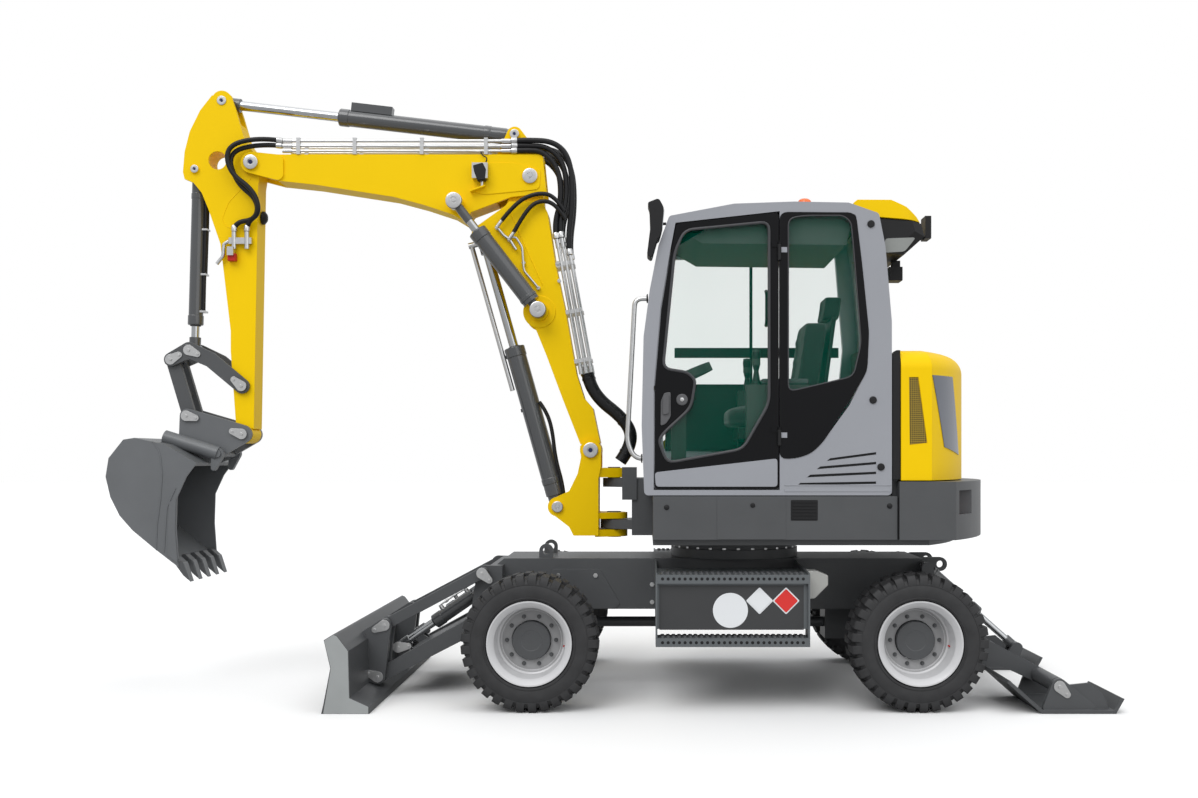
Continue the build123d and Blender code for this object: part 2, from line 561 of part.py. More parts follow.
with BuildPart() as stabiliser_feet:
    for side in (-1, 1):
        side_plate(
            [(FOOT_TIP_X - 667, 176), (FOOT_TIP_X - 470, 0), (FOOT_TIP_X - 48, 0), (FOOT_TIP_X, 85),
             (FOOT_TIP_X - 18, 92), (FOOT_TIP_X - 59, 20), (FOOT_TIP_X - 462, 20), (FOOT_TIP_X - 653, 190)],
            *sorted((side * FOOT_INNER, side * MACHINE_HALF_WIDTH)))
        for near, far in ((FOOT_INNER + 5, LEG_Y - 5), (SLEEVE_END + 5, SLEEVE_END + 35)):
            side_link([(*FOOT_PIVOT, 45), (FOOT_PIVOT[0] - 74, 30, 20), (FOOT_PIVOT[0] + 186, 30, 20)],
                      *sorted((side * near, side * far)))
        side_plate([(FOOT_TIP_X - 400, 60), (FOOT_TIP_X - 380, 150), (FOOT_TIP_X - 190, 170),
                    (FOOT_TIP_X - 110, 105), (FOOT_TIP_X - 70, 20), (FOOT_TIP_X - 330, 20)],
                   *sorted((side * (SLEEVE_END + 5), side * (SLEEVE_END + 20))))
        cross_pin(FOOT_PIVOT, 25, *sorted((side * (FOOT_INNER + 5), side * (SLEEVE_END + 35))))
save(stabiliser_feet, "stabiliser_feet")


# House
def house_plan(radius, x_low, half_width, z_low, height, mode=Mode.ADD):
    """A slab whose back is an arc about the slewing axis."""
    with BuildSketch(Plane.XY.offset(z_low)) as plan:
        with Locations((SLEW_X, 0)):
            Circle(radius)
        with Locations((x_low + radius, 0)):
            Rectangle(2 * radius, 2 * half_width, mode=Mode.INTERSECT)
    extrude(plan.sketch, amount=height, mode=mode)


inner_radius = COUNTERWEIGHT_RADIUS - 160
tongue_reach = KING_LUG_RADIUS - 7
with BuildPart() as house_frame:
    house_plan(inner_radius - SEAT_GAP, HOUSE_FRONT, HOUSE_HALF_WIDTH - 70, FLOOR_BOTTOM, FLOOR_TOP - FLOOR_BOTTOM)
    with BuildSketch(Plane.XY.offset(FRAME_TOP + 2 * SEAT_GAP + 60)) as race:
        with Locations((SLEW_X, 0)):
            Circle(RING_RADIUS - 10)
            Circle(RING_BORE, mode=Mode.SUBTRACT)
    extrude(race.sketch, until=Until.NEXT)
    house_plan(inner_radius - SEAT_GAP, HOUSE_FRONT, HOUSE_HALF_WIDTH - 70, DECK_TOP - 40, 40)
    for side in (-1, 1):
        block(HOUSE_FRONT - 20, 2050, *sorted((side * 130, side * 200)), FLOOR_TOP, DECK_TOP - 40)
    block(226, 342, -200, 200, 965, 1326)
    block(330, HOUSE_FRONT + 40, -200, 200, FLOOR_BOTTOM + 15, DECK_TOP)
    block(165, 258, -216, -174, 1190, 1396)
    block(1738, 1768, -HOUSE_HALF_WIDTH + 70, HOUSE_HALF_WIDTH - 70, DECK_TOP, HOOD_TOP - 40)
    for z_low, height, reach in ((1000, 60, tongue_reach), (1268, 57, 72)):
        with BuildSketch(Plane.XY.offset(z_low)) as tongue:
            with Locations((KING_PIN_X, 0)):
                Circle(reach)
            with Locations((230, 0)):
                Rectangle(12, 320)
            make_hull()
        extrude(tongue.sketch, amount=height)
    with Locations((KING_PIN_X, 0, 1027)):
        Cylinder(KING_PIN_RADIUS, 166)
    with Locations((KING_PIN_X, 0, 1334)):
        Cylinder(KING_PIN_RADIUS - 5, 124)
save(house_frame, "house_frame")

with BuildPart() as engine_block:
    block(1800, 2180, -430, 430, 1300, 1780)
    for x_low in (1820, 2060):
        for side in (-1, 1):
            block(x_low, x_low + 90, *sorted((side * 300, side * 400)), DECK_TOP + SEAT_GAP, 1300)
save(engine_block, "engine_block")

with BuildPart() as skirts:
    for side in (-1, 1):
        block(HOUSE_FRONT, 1755, *sorted((side * (HOUSE_HALF_WIDTH - 70 + SEAT_GAP), side * HOUSE_HALF_WIDTH)),
              985, DECK_TOP - 5)
save(skirts, "skirts")

with BuildPart() as counterweight:
    house_plan(COUNTERWEIGHT_RADIUS, 1762, 975, COUNTERWEIGHT_BOTTOM, HOOD_BOTTOM - 6 - COUNTERWEIGHT_BOTTOM)
    house_plan(inner_radius, 1700, HOUSE_HALF_WIDTH - 70 + SEAT_GAP, COUNTERWEIGHT_BOTTOM - 1, 400,
               mode=Mode.SUBTRACT)
    for side in (-1, 1):
        block(2065, 2400, *sorted((side * 770, side * 940)), 1130, 1268, mode=Mode.SUBTRACT)
save(counterweight, "counterweight")

with BuildPart() as engine_hood:
    house_plan(HOOD_RADIUS, HOOD_FRONT, HOUSE_HALF_WIDTH, HOOD_BOTTOM, HOOD_TOP - HOOD_BOTTOM)
    fillet(engine_hood.faces().sort_by(Axis.Z)[-1].edges().filter_by(lambda e: e.center().X > HOOD_FRONT + 1), 110)
    house_plan(HOOD_RADIUS - SHEET, HOOD_FRONT - 50, HOUSE_HALF_WIDTH - SHEET, HOOD_BOTTOM - 1,
               HOOD_TOP - 120 - HOOD_BOTTOM, mode=Mode.SUBTRACT)
    for side in (-1, 1):
        side_plate([(1820, 1917), (1874, 1917), (1925, 1540), (1824, 1529)],
                   *sorted((side * (HOUSE_HALF_WIDTH - 8), side * (HOUSE_HALF_WIDTH + 10))), mode=Mode.SUBTRACT)
    for level in HOOD_HINGE_LEVELS:
        hinge_half(HOOD_HINGE_X, HOUSE_HALF_WIDTH, level, 1, carries_pin=False)
save(engine_hood, "engine_hood")

with BuildPart() as right_cover:
    side_plate(
        [(HOUSE_FRONT, DECK_TOP + SEAT_GAP), (HOUSE_FRONT, 1500), (470, 1600), (1000, 1690), (1735, 1800),
         (1735, DECK_TOP + SEAT_GAP)],
        CAB_RIGHT + 12, HOUSE_HALF_WIDTH)
    for level in HOOD_HINGE_LEVELS:
        hinge_half(HOOD_HINGE_X, HOUSE_HALF_WIDTH, level, -1, carries_pin=True)
save(right_cover, "right_cover")

# Cab
cab_outline = [
    (306, CAB_FLOOR), (291, 1640), (302, 2150), (338, 2420), (387, 2670), (449, 2840), (820, 2910),
    (1167, 2922), (1476, 2916), (1649, 2855), (1686, 2669), (1723, 2236), (1723, CAB_FLOOR),
]
door_outline = [
    (366, 1277), (366, 1856), (404, 2309), (462, 2648), (490, 2795), (1075, 2860), (1075, 1277),
]
door_window = [
    (537, 2759), (1020, 2806), (1020, 1769), (871, 1506), (436, 1426), (388, 1557), (425, 1606),
    (573, 1742), (599, 1903), (549, 1946), (413, 1966), (480, 2635),
]
rear_side_window = [
    (1117, 2850), (1517, 2850), (1554, 2549), (1592, 2175), (1579, 1952), (1480, 1755), (1343, 1569),
    (1231, 1494), (1117, 1463),
]
with BuildPart() as cab_shell:
    side_plate(cab_outline, CAB_LEFT, CAB_RIGHT, radius=25)
    with BuildSketch(Plane.XZ.offset(-CAB_RIGHT + CAB_WALL)) as inside:
        with BuildLine():
            Polyline(*cab_outline, close=True)
        make_face()
        offset(amount=-CAB_WALL, kind=Kind.INTERSECTION, mode=Mode.REPLACE)
    extrude(inside.sketch, amount=CAB_RIGHT - CAB_LEFT - 2 * CAB_WALL, mode=Mode.SUBTRACT)
    with BuildSketch(Plane.XZ.offset(-CAB_LEFT - CAB_WALL - 1)) as doorway:
        with BuildLine():
            Polyline(*door_outline, close=True)
        make_face()
        offset(amount=PANEL_GAP, kind=Kind.INTERSECTION, mode=Mode.REPLACE)
    extrude(doorway.sketch, amount=CAB_WALL + 2, mode=Mode.SUBTRACT)
    side_plate(rear_side_window, CAB_LEFT - 1, CAB_LEFT + CAB_WALL + 1, radius=20, mode=Mode.SUBTRACT)
    side_plate([(430, 1500), (400, 2100), (500, 2740), (1540, 2760), (1590, 2150), (1560, 1860)],
               CAB_RIGHT - CAB_WALL - 1, CAB_RIGHT + 1, radius=20, mode=Mode.SUBTRACT)
    block(200, 520, CAB_LEFT + CAB_WALL + 20, CAB_RIGHT - CAB_WALL - 20, 1420, 2780, mode=Mode.SUBTRACT)
    block(280, 344.5, -203, CAB_RIGHT + 1, CAB_FLOOR - 1, 1330, mode=Mode.SUBTRACT)
    block(1600, 1800, CAB_LEFT + 130, CAB_RIGHT - 130, 2150, 2700, mode=Mode.SUBTRACT)
    for row in range(VENT_ROWS):
        front_x = VENT_FRONT[0] - row * VENT_FRONT_STEP[0]
        front_z = VENT_FRONT[1] - row * VENT_FRONT_STEP[1]
        back_z = VENT_BACK[1] - row * VENT_BACK_STEP
        side_plate([(front_x, front_z), (VENT_BACK[0], back_z), (VENT_BACK[0], back_z + VENT_HEIGHT),
                    (front_x + 20, front_z + VENT_HEIGHT + 2)],
                   CAB_LEFT - 1, CAB_LEFT + 12, mode=Mode.SUBTRACT)
    for centre in ((1603, 2793), (1615, 1786), (1660, 1403)):
        cross_pin(centre, 20, CAB_LEFT - 5, CAB_LEFT + 10)
    for x_low, x_high, z_low, z_high in ((1108, 1718, 1262, 1276), (1108, 1718, 1296, 1302)):
        block(x_low, x_high, CAB_LEFT - 3, CAB_LEFT + 1, z_low, z_high)
    for level in DOOR_HINGE_LEVELS:
        hinge_half(DOOR_HINGE_X, CAB_LEFT, level, 1, carries_pin=True)
save(cab_shell, "cab_shell")

with BuildPart() as cab_door:
    side_plate(door_outline, CAB_LEFT, CAB_LEFT + CAB_WALL, radius=20)
    side_plate(door_window, CAB_LEFT - 1, CAB_LEFT + CAB_WALL + 1, radius=25, mode=Mode.SUBTRACT)
    for level in DOOR_HINGE_LEVELS:
        hinge_half(DOOR_HINGE_X, CAB_LEFT, level, -1, carries_pin=False)
save(cab_door, "cab_door")

with BuildPart() as door_glass:
    with BuildSketch(Plane.XZ.offset(-CAB_LEFT - 20)) as pane:
        with BuildLine():
            Polyline(*door_window, close=True)
        make_face()
        fillet(pane.vertices(), 25)
        offset(amount=-SEAT_GAP, mode=Mode.REPLACE)
    extrude(pane.sketch, amount=GLASS)
save(door_glass, "door_glass")

with BuildPart() as cab_glass:
    with BuildSketch(Plane.XZ.offset(-CAB_LEFT - 20)) as pane:
        with BuildLine():
            Polyline(*rear_side_window, close=True)
        make_face()
        fillet(pane.vertices(), 20)
        offset(amount=-SEAT_GAP, mode=Mode.REPLACE)
    extrude(pane.sketch, amount=GLASS)
    with BuildSketch(Plane.XZ.offset(-CAB_RIGHT + 20)) as pane:
        with BuildLine():
            Polyline((430, 1500), (400, 2100), (500, 2740), (1540, 2760), (1590, 2150), (1560, 1860), close=True)
        make_face()
        fillet(pane.vertices(), 20)
        offset(amount=-SEAT_GAP, mode=Mode.REPLACE)
    extrude(pane.sketch, amount=GLASS)
    with BuildSketch(Plane.XZ.offset(-CAB_RIGHT + CAB_WALL + 20 + SEAT_GAP)) as screen:
        with BuildLine():
            Polyline(*cab_outline, close=True)
        make_face()
        offset(amount=-16, kind=Kind.INTERSECTION, mode=Mode.REPLACE)
        offset(amount=-GLASS, kind=Kind.INTERSECTION, mode=Mode.SUBTRACT)
        with Locations((350, 2100)):
            Rectangle(400, 1360 - 2 * SEAT_GAP, mode=Mode.INTERSECT)
    extrude(screen.sketch, amount=CAB_RIGHT - CAB_LEFT - 2 * CAB_WALL - 40 - 2 * SEAT_GAP)
    side_plate([(1686, 2151), (1692, 2151), (1649, 2699), (1643, 2699)],
               CAB_LEFT + 130 + SEAT_GAP, CAB_RIGHT - 130 - SEAT_GAP)
save(cab_glass, "cab_glass")

cab_floor_top = CAB_FLOOR + CAB_WALL
with BuildPart() as cab_seat:
    block(900, 1240, -640, -280, cab_floor_top + SEAT_GAP, 1640)
    block(800, 1280, -700, -220, 1640, 1780)
    side_plate([(1240, 1760), (1340, 1760), (1440, 2400), (1360, 2420)], -680, -240, radius=20)
save(cab_seat, "cab_seat")

with BuildPart() as cab_console:
    for y_low in (-860, -190):
        block(900, 1260, y_low, y_low + 120, cab_floor_top + SEAT_GAP, 1880)
    for y_centre in (-800, -130):
        with Locations((960, y_centre, 1940)):
            Cylinder(14, 124)
        with Locations((960, y_centre, 2040)):
            Cylinder(24, 90)
    block(470, 560, -520, -400, cab_floor_top + SEAT_GAP, 1900)
    with BuildSketch(Plane(origin=(540, -460, 1940), z_dir=(-0.4, 0, 0.9))) as wheel:
        Circle(190)
        Circle(162, mode=Mode.SUBTRACT)
        Rectangle(340, 50)
    extrude(wheel.sketch, amount=26, both=True)
    rod_between((515, 1900), (540, 1945), -460, 24)
save(cab_console, "cab_console")

with BuildPart() as cab_roof_unit:
    side_plate([(1651.3, 2844), (1924, 2822), (1942, 2747), (1822, 2640), (1692.4, 2640), (1686.7, 2669)],
               CAB_LEFT + UNIT_INSET, CAB_RIGHT - UNIT_INSET)
    chamfer(cab_roof_unit.edges().filter_by(lambda e: e.center().X > 1830 and e.center().Z < 2800
                                            and e.length < 200), 60)
    block(1800, 1850, -560, -520, 2600, 2645)
    block(1776, 1856, -600, -480, 2520, 2602)
    block(1930, 1996, -560, -540, 2770, 2790)
    block(1990, 2026, -610, -490, 2771, 2906)
save(cab_roof_unit, "cab_roof_unit")

with BuildPart() as cab_roof_cover:
    side_plate([(1520, 2901.2), (1520, 2934), (1540, 2950), (1735, 2949), (1825, 2909), (1890, 2858),
                (1918, 2829), (1651.3, 2850), (1649.4, 2855.3)],
               CAB_LEFT + UNIT_INSET - 10, CAB_RIGHT - UNIT_INSET + 10)
    with BuildSketch(Plane.XY.offset(2700)) as plan:
        with Locations((1660, (CAB_LEFT + CAB_RIGHT) / 2)):
            Rectangle(560, CAB_RIGHT - CAB_LEFT - 2 * UNIT_INSET + 20)
        fillet(plan.vertices().group_by(Axis.X)[-1], 160)
    extrude(plan.sketch, amount=400, mode=Mode.INTERSECT)
save(cab_roof_cover, "cab_roof_cover")

# Handrail, mirror and beacon on the cab
with BuildPart() as cab_trim:
    tube([(329.3, RAIL_Y, 2372), (252, RAIL_Y, 2372), (208, RAIL_Y, 1548), (250, RAIL_Y, 1452), (297.2, RAIL_Y, 1452)],
         RAIL_RADIUS, (45, 60, 40))
    side_plate([(323, 2909), (389, 2935), (419, 2880), (408, 2760), (392, 2707), (380, 2700), (349, 2592),
                (321, 2610), (340, 2763), (336, 2878)], MIRROR_Y - 75, MIRROR_Y + 75)
    side_plate([(400, 2790), (430.4, 2790), (437.7, 2810), (400, 2810)], MIRROR_Y - 15, MIRROR_Y + 15)
    with Locations((BEACON[0], BEACON[1], BEACON[2] + 55)):
        Cylinder(50, 110)
    fillet(cab_trim.faces().sort_by(Axis.Z)[-1].edges(), 20)
save(cab_trim, "cab_trim")

# Swing bracket between the house and the boom
with BuildPart() as swing_bracket:
    cheek_outline = [
        (-174, 1014), (-146, 959), (BRACKET_BACK, 959), (BRACKET_BACK, 1326), (29, 1400), (29, 1510),
        (-104, 1530), (-98, 1457), (-120, 1352), (-174, 1243), (-257, 1205), (-300, 1170), (-300, 1110),
        (-232, 1059),
    ]
    for side in (-1, 1):
        band = sorted((side * (BRACKET_HALF_WIDTH - FORK_CHEEK), side * BRACKET_HALF_WIDTH))
        side_plate(cheek_outline, *band)
        cross_pin(LIFT_FOOT, 62, *band)
        cross_pin(BOOM_FOOT, 68, *band)
    block(-60, BRACKET_BACK, -BRACKET_HALF_WIDTH, BRACKET_HALF_WIDTH, 959, 1395)
    block(-146, 0, -BRACKET_HALF_WIDTH, BRACKET_HALF_WIDTH, 959, 1000)
    for z_low, z_high in ((950, 995), (1065, 1104), (1330, 1390)):
        with BuildSketch(Plane.XY.offset(z_low)) as lug:
            with Locations((KING_PIN_X, 0)):
                Circle(KING_LUG_RADIUS - 8)
            with Locations((0, 0)):
                Rectangle(20, 2 * BRACKET_HALF_WIDTH - 20)
            make_hull()
        extrude(lug.sketch, amount=z_high - z_low)
    with Locations((KING_PIN_X, 0, 1027)):
        Cylinder(KING_PIN_RADIUS + RUNNING_FIT, 200, mode=Mode.SUBTRACT)
    with Locations((KING_PIN_X, 0, 1360)):
        Cylinder(KING_PIN_RADIUS - 5 + RUNNING_FIT, 100, mode=Mode.SUBTRACT)
    for centre, cap_radius in ((LIFT_FOOT, CAP_RADIUS - 12), (BOOM_FOOT, CAP_RADIUS)):
        cross_pin(centre, PIN_RADIUS, -BRACKET_HALF_WIDTH - PIN_CAP, BRACKET_HALF_WIDTH + PIN_CAP)
        for side in (-1, 1):
            cross_pin(centre, cap_radius, *sorted((side * (BRACKET_HALF_WIDTH - 2), side * (BRACKET_HALF_WIDTH + PIN_CAP))))
save(swing_bracket, "swing_bracket")

# Lower boom
with BuildPart() as lower_boom:
    side_plate(
        [(23, 1549), (-24, 1772), (-79, 1836), (-130, 1995), (-200, 2396), (-264, 2696), (-315, 3027),
         (-350, 3095), (-560, 3095), (-610, 3040), (-520, 2700), (-425, 2365), (-321, 2110), (-215, 1826),
         (-104, 1543)],
        -BOOM_HALF_WIDTH, BOOM_HALF_WIDTH)
    cross_pin(BOOM_FOOT, 68, -BOOM_HALF_WIDTH, BOOM_HALF_WIDTH)
    cross_pin(BOOM_FOOT, PIN_RADIUS + RUNNING_FIT, -BOOM_HALF_WIDTH, BOOM_HALF_WIDTH, mode=Mode.SUBTRACT)
    side_link([(*KNUCKLE, 75), (-380, 3080, 40), (-540, 3080, 40)], -HEAD_HALF_WIDTH, HEAD_HALF_WIDTH)
    cross_pin(KNUCKLE, PIN_RADIUS + RUNNING_FIT, -HEAD_HALF_WIDTH, HEAD_HALF_WIDTH, mode=Mode.SUBTRACT)
    for side in (-1, 1):
        side_link([(*LIFT_HEAD, 62), (-450, 2480, 30), (-540, 3050, 40)],
                  *sorted((side * (BOOM_HALF_WIDTH - FORK_CHEEK), side * BOOM_HALF_WIDTH)))
    cross_pin(ADJUST_FOOT, 25, -ADJUST_Y - 42, ADJUST_Y + 42)
    cross_pin(ADJUST_FOOT, 60, -ADJUST_Y + 60, ADJUST_Y - 60)
save(lower_boom, "lower_boom")

# Upper boom
with BuildPart() as upper_boom:
    side_plate(
        [(-2090, 3396), (-346, 3396), (-321, 3148), (-546, 3124), (-802, 3027), (-847, 2966), (-922, 3012),
         (-1104, 3072), (-1298, 3124), (-1799, 3202), (-2040, 3228)],
        -BOOM_HALF_WIDTH, BOOM_HALF_WIDTH)
    block(-640, -200, -HEAD_HALF_WIDTH - 5, HEAD_HALF_WIDTH + 5, 2900, 3350, mode=Mode.SUBTRACT)
    cross_pin(KNUCKLE, PIN_RADIUS, -BOOM_HALF_WIDTH - PIN_CAP, BOOM_HALF_WIDTH + PIN_CAP)
    for side in (-1, 1):
        cap_band = sorted((side * (BOOM_HALF_WIDTH - 2), side * (BOOM_HALF_WIDTH + PIN_CAP)))
        cross_pin(KNUCKLE, CAP_RADIUS, *cap_band)
    for side in (-1, 1):
        side_link([(*ARM_PIVOT, 68), (-2040, 3355, 38), (-2040, 3268, 38)],
                  *sorted((side * (ARM_HALF_WIDTH + 5), side * (ARM_HALF_WIDTH + 5 + FORK_CHEEK))))
        side_link([(*ARM_CYLINDER_FOOT, 50), (-620, 3370, 30), (-380, 3370, 30)],
                  *sorted((side * 58, side * 84)))
        cross_pin(ADJUST_HEAD, 50, *sorted((side * (BOOM_HALF_WIDTH - 5), side * (ADJUST_Y - 36))))
    cross_pin(ARM_PIVOT, PIN_RADIUS, -ARM_HALF_WIDTH - 48, ARM_HALF_WIDTH + 48)
    cross_pin(ARM_CYLINDER_FOOT, 28, -96, 96)
save(upper_boom, "upper_boom")

# Arm
with BuildPart() as arm:
    side_plate(
        [(-2469, 3780), (-2545, 3683), (-2611, 3549), (-2644, 3419), (-2655, 3288), (-2644, 3243), (-2588, 3221),
         (-2534, 3154), (-2490, 3046), (-2414, 2826), (-2391, 2629), (-2348, 2269), (-2348, 2138),
         (-2315, 1680), (-2200, 1640), (-2172, 3200), (-2150, 3342), (-2260, 3495), (-2315, 3683), (-2348, 3780)],
        -ARM_HALF_WIDTH, ARM_HALF_WIDTH)
    cross_pin(ARM_PIVOT, 72, -ARM_HALF_WIDTH, ARM_HALF_WIDTH)
    cross_pin(ARM_CYLINDER_HEAD, 64, -ARM_HALF_WIDTH, ARM_HALF_WIDTH)
    cross_pin(BUCKET_PIVOT, 60, -ARM_HALF_WIDTH, ARM_HALF_WIDTH)
    cross_pin(ARM_PIVOT, PIN_RADIUS + RUNNING_FIT, -ARM_HALF_WIDTH, ARM_HALF_WIDTH, mode=Mode.SUBTRACT)
    cross_pin(BUCKET_PIVOT, PIN_RADIUS + RUNNING_FIT, -ARM_HALF_WIDTH, ARM_HALF_WIDTH, mode=Mode.SUBTRACT)
    cross_pin(ARM_HOLE, ARM_HOLE_RADIUS, -ARM_HALF_WIDTH - 1, ARM_HALF_WIDTH + 1, mode=Mode.SUBTRACT)
    block(-2600, -2250, -57, 57, 3600, 3900, mode=Mode.SUBTRACT)
    block(-2700, -2500, -50, 50, 3150, 3420, mode=Mode.SUBTRACT)
    cross_pin(BUCKET_CYLINDER_FOOT, 24, -ARM_HALF_WIDTH - 10, ARM_HALF_WIDTH + 10)
    cross_pin(ROCKER_PIVOT, 26, -ARM_HALF_WIDTH - 34, ARM_HALF_WIDTH + 34)
save(arm, "arm")

# Steel pipes and clamps along the booms
with BuildPart() as upper_boom_fittings:
    for side in (-1, 1):
        for level in LINE_LEVELS:
            rod_between((LINE_FRONT, level), (LINE_BACK, level), side * LINE_Y, PIPE_RADIUS)
            for x_end in (LINE_FRONT, LINE_BACK):
                rod_between((x_end, level), (x_end + (60 if x_end < LINE_BACK else -60), level), side * LINE_Y,
                            PIPE_RADIUS + 4)
        for x_low in CLAMPS:
            block(x_low, x_low + 24, *sorted((side * (LINE_Y - 14), side * (LINE_Y + 14))),
                  BOOM_TOP + SEAT_GAP, LINE_LEVELS[-1] + 18)
    block(-790, -690, -BOOM_HALF_WIDTH - 62, -BOOM_HALF_WIDTH - SEAT_GAP, 3232, 3330)
save(upper_boom_fittings, "upper_boom_fittings")

back_start = (-287, 2850)
back_end = (-128, 1985)
back_length = hypot(back_end[0] - back_start[0], back_end[1] - back_start[1])
with BuildPart() as lower_boom_fittings:
    for side in (-1, 1):
        for start, aside in BACK_LINES:
            head = along(back_start, back_end, start, aside)
            foot = along(back_start, back_end, back_length, aside)
            rod_between(head, foot, side * LINE_Y, PIPE_RADIUS)
            rod_between(head, foot, side * LINE_Y, PIPE_RADIUS + 4, 0, 60)
            rod_between(foot, head, side * LINE_Y, PIPE_RADIUS + 4, 0, 60)
        for place, clear in BACK_CLAMPS:
            side_plate(
                [along(back_start, back_end, place, clear), along(back_start, back_end, place + 26, clear),
                 along(back_start, back_end, place + 26, BACK_LINES[-1][1] + 16),
                 along(back_start, back_end, place, BACK_LINES[-1][1] + 16)],
                *sorted((side * (LINE_Y - 14), side * (LINE_Y + 8))))
save(lower_boom_fittings, "lower_boom_fittings")

# Hoses: over the knuckle, from the house to the lower boom, and from the upper boom to the arm
with BuildPart() as boom_hoses:
    for side in (-1, 1):
        for level, (start, aside), reach in zip(LINE_LEVELS, BACK_LINES, HOSE_REACHES):
            end_x, end_z = along(back_start, back_end, start, aside)
            near_x, near_z = along(back_start, back_end, start - 90, aside)
            tube([(LINE_BACK + SEAT_GAP, side * LINE_Y, level), (reach, side * LINE_Y, level),
                  (reach + 10, side * LINE_Y, 3080), (near_x, side * LINE_Y, near_z),
                  (end_x, side * LINE_Y, end_z)], HOSE_RADIUS, HOSE_BENDS)
save(boom_hoses, "boom_hoses")

with BuildPart() as house_hoses:
    start_x, start_z = along(back_start, back_end, back_length + SEAT_GAP, BACK_LINES[1][1] + 4)
    run_x, run_z = along(back_start, back_end, back_length + 130, BACK_LINES[1][1] + 4)
    for side in (-1, 1):
        tube([(start_x, side * SLEEVE_Y, start_z), (run_x, side * SLEEVE_Y, run_z), (196, side * SLEEVE_Y, 1690),
              (232, side * SLEEVE_Y, 1545), (150, side * SLEEVE_Y, 1432)], SLEEVE_RADIUS, SLEEVE_BENDS)
save(house_hoses, "house_hoses")

with BuildPart() as arm_hoses:
    for points in ARM_HOSES:
        tube(points, ARM_HOSE_RADIUS, ARM_HOSE_BENDS)
save(arm_hoses, "arm_hoses")

with BuildPart() as arm_coupler:
    face = -ARM_HALF_WIDTH - SEAT_GAP
    block(-2350, -2205, face - 34, face, 2822, 2862)
    for x_centre in (-2318, -2236):
        rod_between((x_centre, 2790), (x_centre, 2900), face - 26, 15)
    block(-2352, -2312, face - 62, face - 10, 2745, 2800)
    tube([(-2352, face - 24, 2842), (-2384, face - 24, 2820), (-2388, face - 24, 2745), (-2428, face - 24, 2694)],
         11, (14, 40))
save(arm_coupler, "arm_coupler")

# Bucket linkage and bucket
with BuildPart() as rocker:
    for side in (-1, 1):
        band = sorted((side * (ARM_HALF_WIDTH + 5), side * (ARM_HALF_WIDTH + 25)))
        side_link([(*LINK_TOP, 44), (*BUCKET_CYLINDER_HEAD, 52)], *band)
        side_link([(*BUCKET_CYLINDER_HEAD, 52), (*ROCKER_CREST, 48)], *band)
        side_link([(*ROCKER_CREST, 48), (*ROCKER_PIVOT, 48)], *band)
        cross_pin(ROCKER_PIVOT, 26 + RUNNING_FIT, *band, mode=Mode.SUBTRACT)
save(rocker, "rocker")

with BuildPart() as link:
    for side in (-1, 1):
        side_link([(*LINK_TOP, 42), (*LINK_BOTTOM, 42)], *sorted((side * 50, side * (ARM_HALF_WIDTH - 2))))
    cross_pin(along(LINK_BOTTOM, LINK_TOP, 150), 22, -60, 60)
    cross_pin(LINK_BOTTOM, 26 + RUNNING_FIT, -ARM_HALF_WIDTH, ARM_HALF_WIDTH, mode=Mode.SUBTRACT)
    cross_pin(LINK_TOP, 26 + RUNNING_FIT, -ARM_HALF_WIDTH, ARM_HALF_WIDTH, mode=Mode.SUBTRACT)
save(link, "link")

bucket_side = [
    (-2674, 1539), (-2858, 1579), (-2927, 1568), (-3018, 1453), (-3036, 1338), (-3007, 1212), (-2949, 1096),
    (-2869, 1005), (-2731, 890), (-2582, 775), (-2599, 1016), (-2593, 1212), (-2536, 1338), (-2472, 1424),
]
with BuildPart() as bucket:
    side_plate(bucket_side, -BUCKET_HALF_WIDTH, BUCKET_HALF_WIDTH)
    with BuildSketch(Plane.XZ.offset(-BUCKET_HALF_WIDTH + BUCKET_WALL)) as inside:
        with BuildLine():
            Polyline(*bucket_side, close=True)
        make_face()
        offset(amount=-BUCKET_WALL, kind=Kind.INTERSECTION, mode=Mode.REPLACE)
        with BuildLine():
            Polyline((-2620, 840), (-2590, 795), (-2440, 1000), (-2440, 1380), (-2480, 1405), (-2540, 1400),
                     (-2640, 1200), close=True)
        make_face()
    extrude(inside.sketch, amount=2 * (BUCKET_HALF_WIDTH - BUCKET_WALL), mode=Mode.SUBTRACT)
    tooth_pitch = 2 * (BUCKET_HALF_WIDTH - 40) / (TOOTH_COUNT - 1)
    for index in range(TOOTH_COUNT):
        y_centre = -BUCKET_HALF_WIDTH + 40 + index * tooth_pitch
        side_plate([(-2640, 835), (-2513, 685), (-2550, 800), (-2590, 830)], y_centre - 32, y_centre + 32)
    for side in (-1, 1):
        side_link([(*BUCKET_PIVOT, 58), (*LINK_BOTTOM, 46), (-2650, 1515, 20), (-2500, 1425, 20)],
                  *sorted((side * (ARM_HALF_WIDTH + 5), side * (ARM_HALF_WIDTH + 35))))
        rod_between((-2740, 1588), (-2400, 1482), side * SADDLE_Y, SADDLE_RADIUS)
        side_link([(-2400, 1482, 38), (-2425, 1390, 16)], *sorted((side * (SADDLE_Y - 20), side * (SADDLE_Y + 20))))
    cross_pin((-2400, 1482), 24, -SADDLE_Y - 32, SADDLE_Y + 32)
    cross_pin(BUCKET_PIVOT, PIN_RADIUS, -ARM_HALF_WIDTH - 45, ARM_HALF_WIDTH + 45)
    cross_pin(LINK_BOTTOM, 26, -ARM_HALF_WIDTH - 45, ARM_HALF_WIDTH + 45)
save(bucket, "bucket")
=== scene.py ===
import json
import math

import bmesh
import bpy
from bpy.props import FloatProperty, FloatVectorProperty, IntProperty, PointerProperty
from mathutils import Matrix, Vector


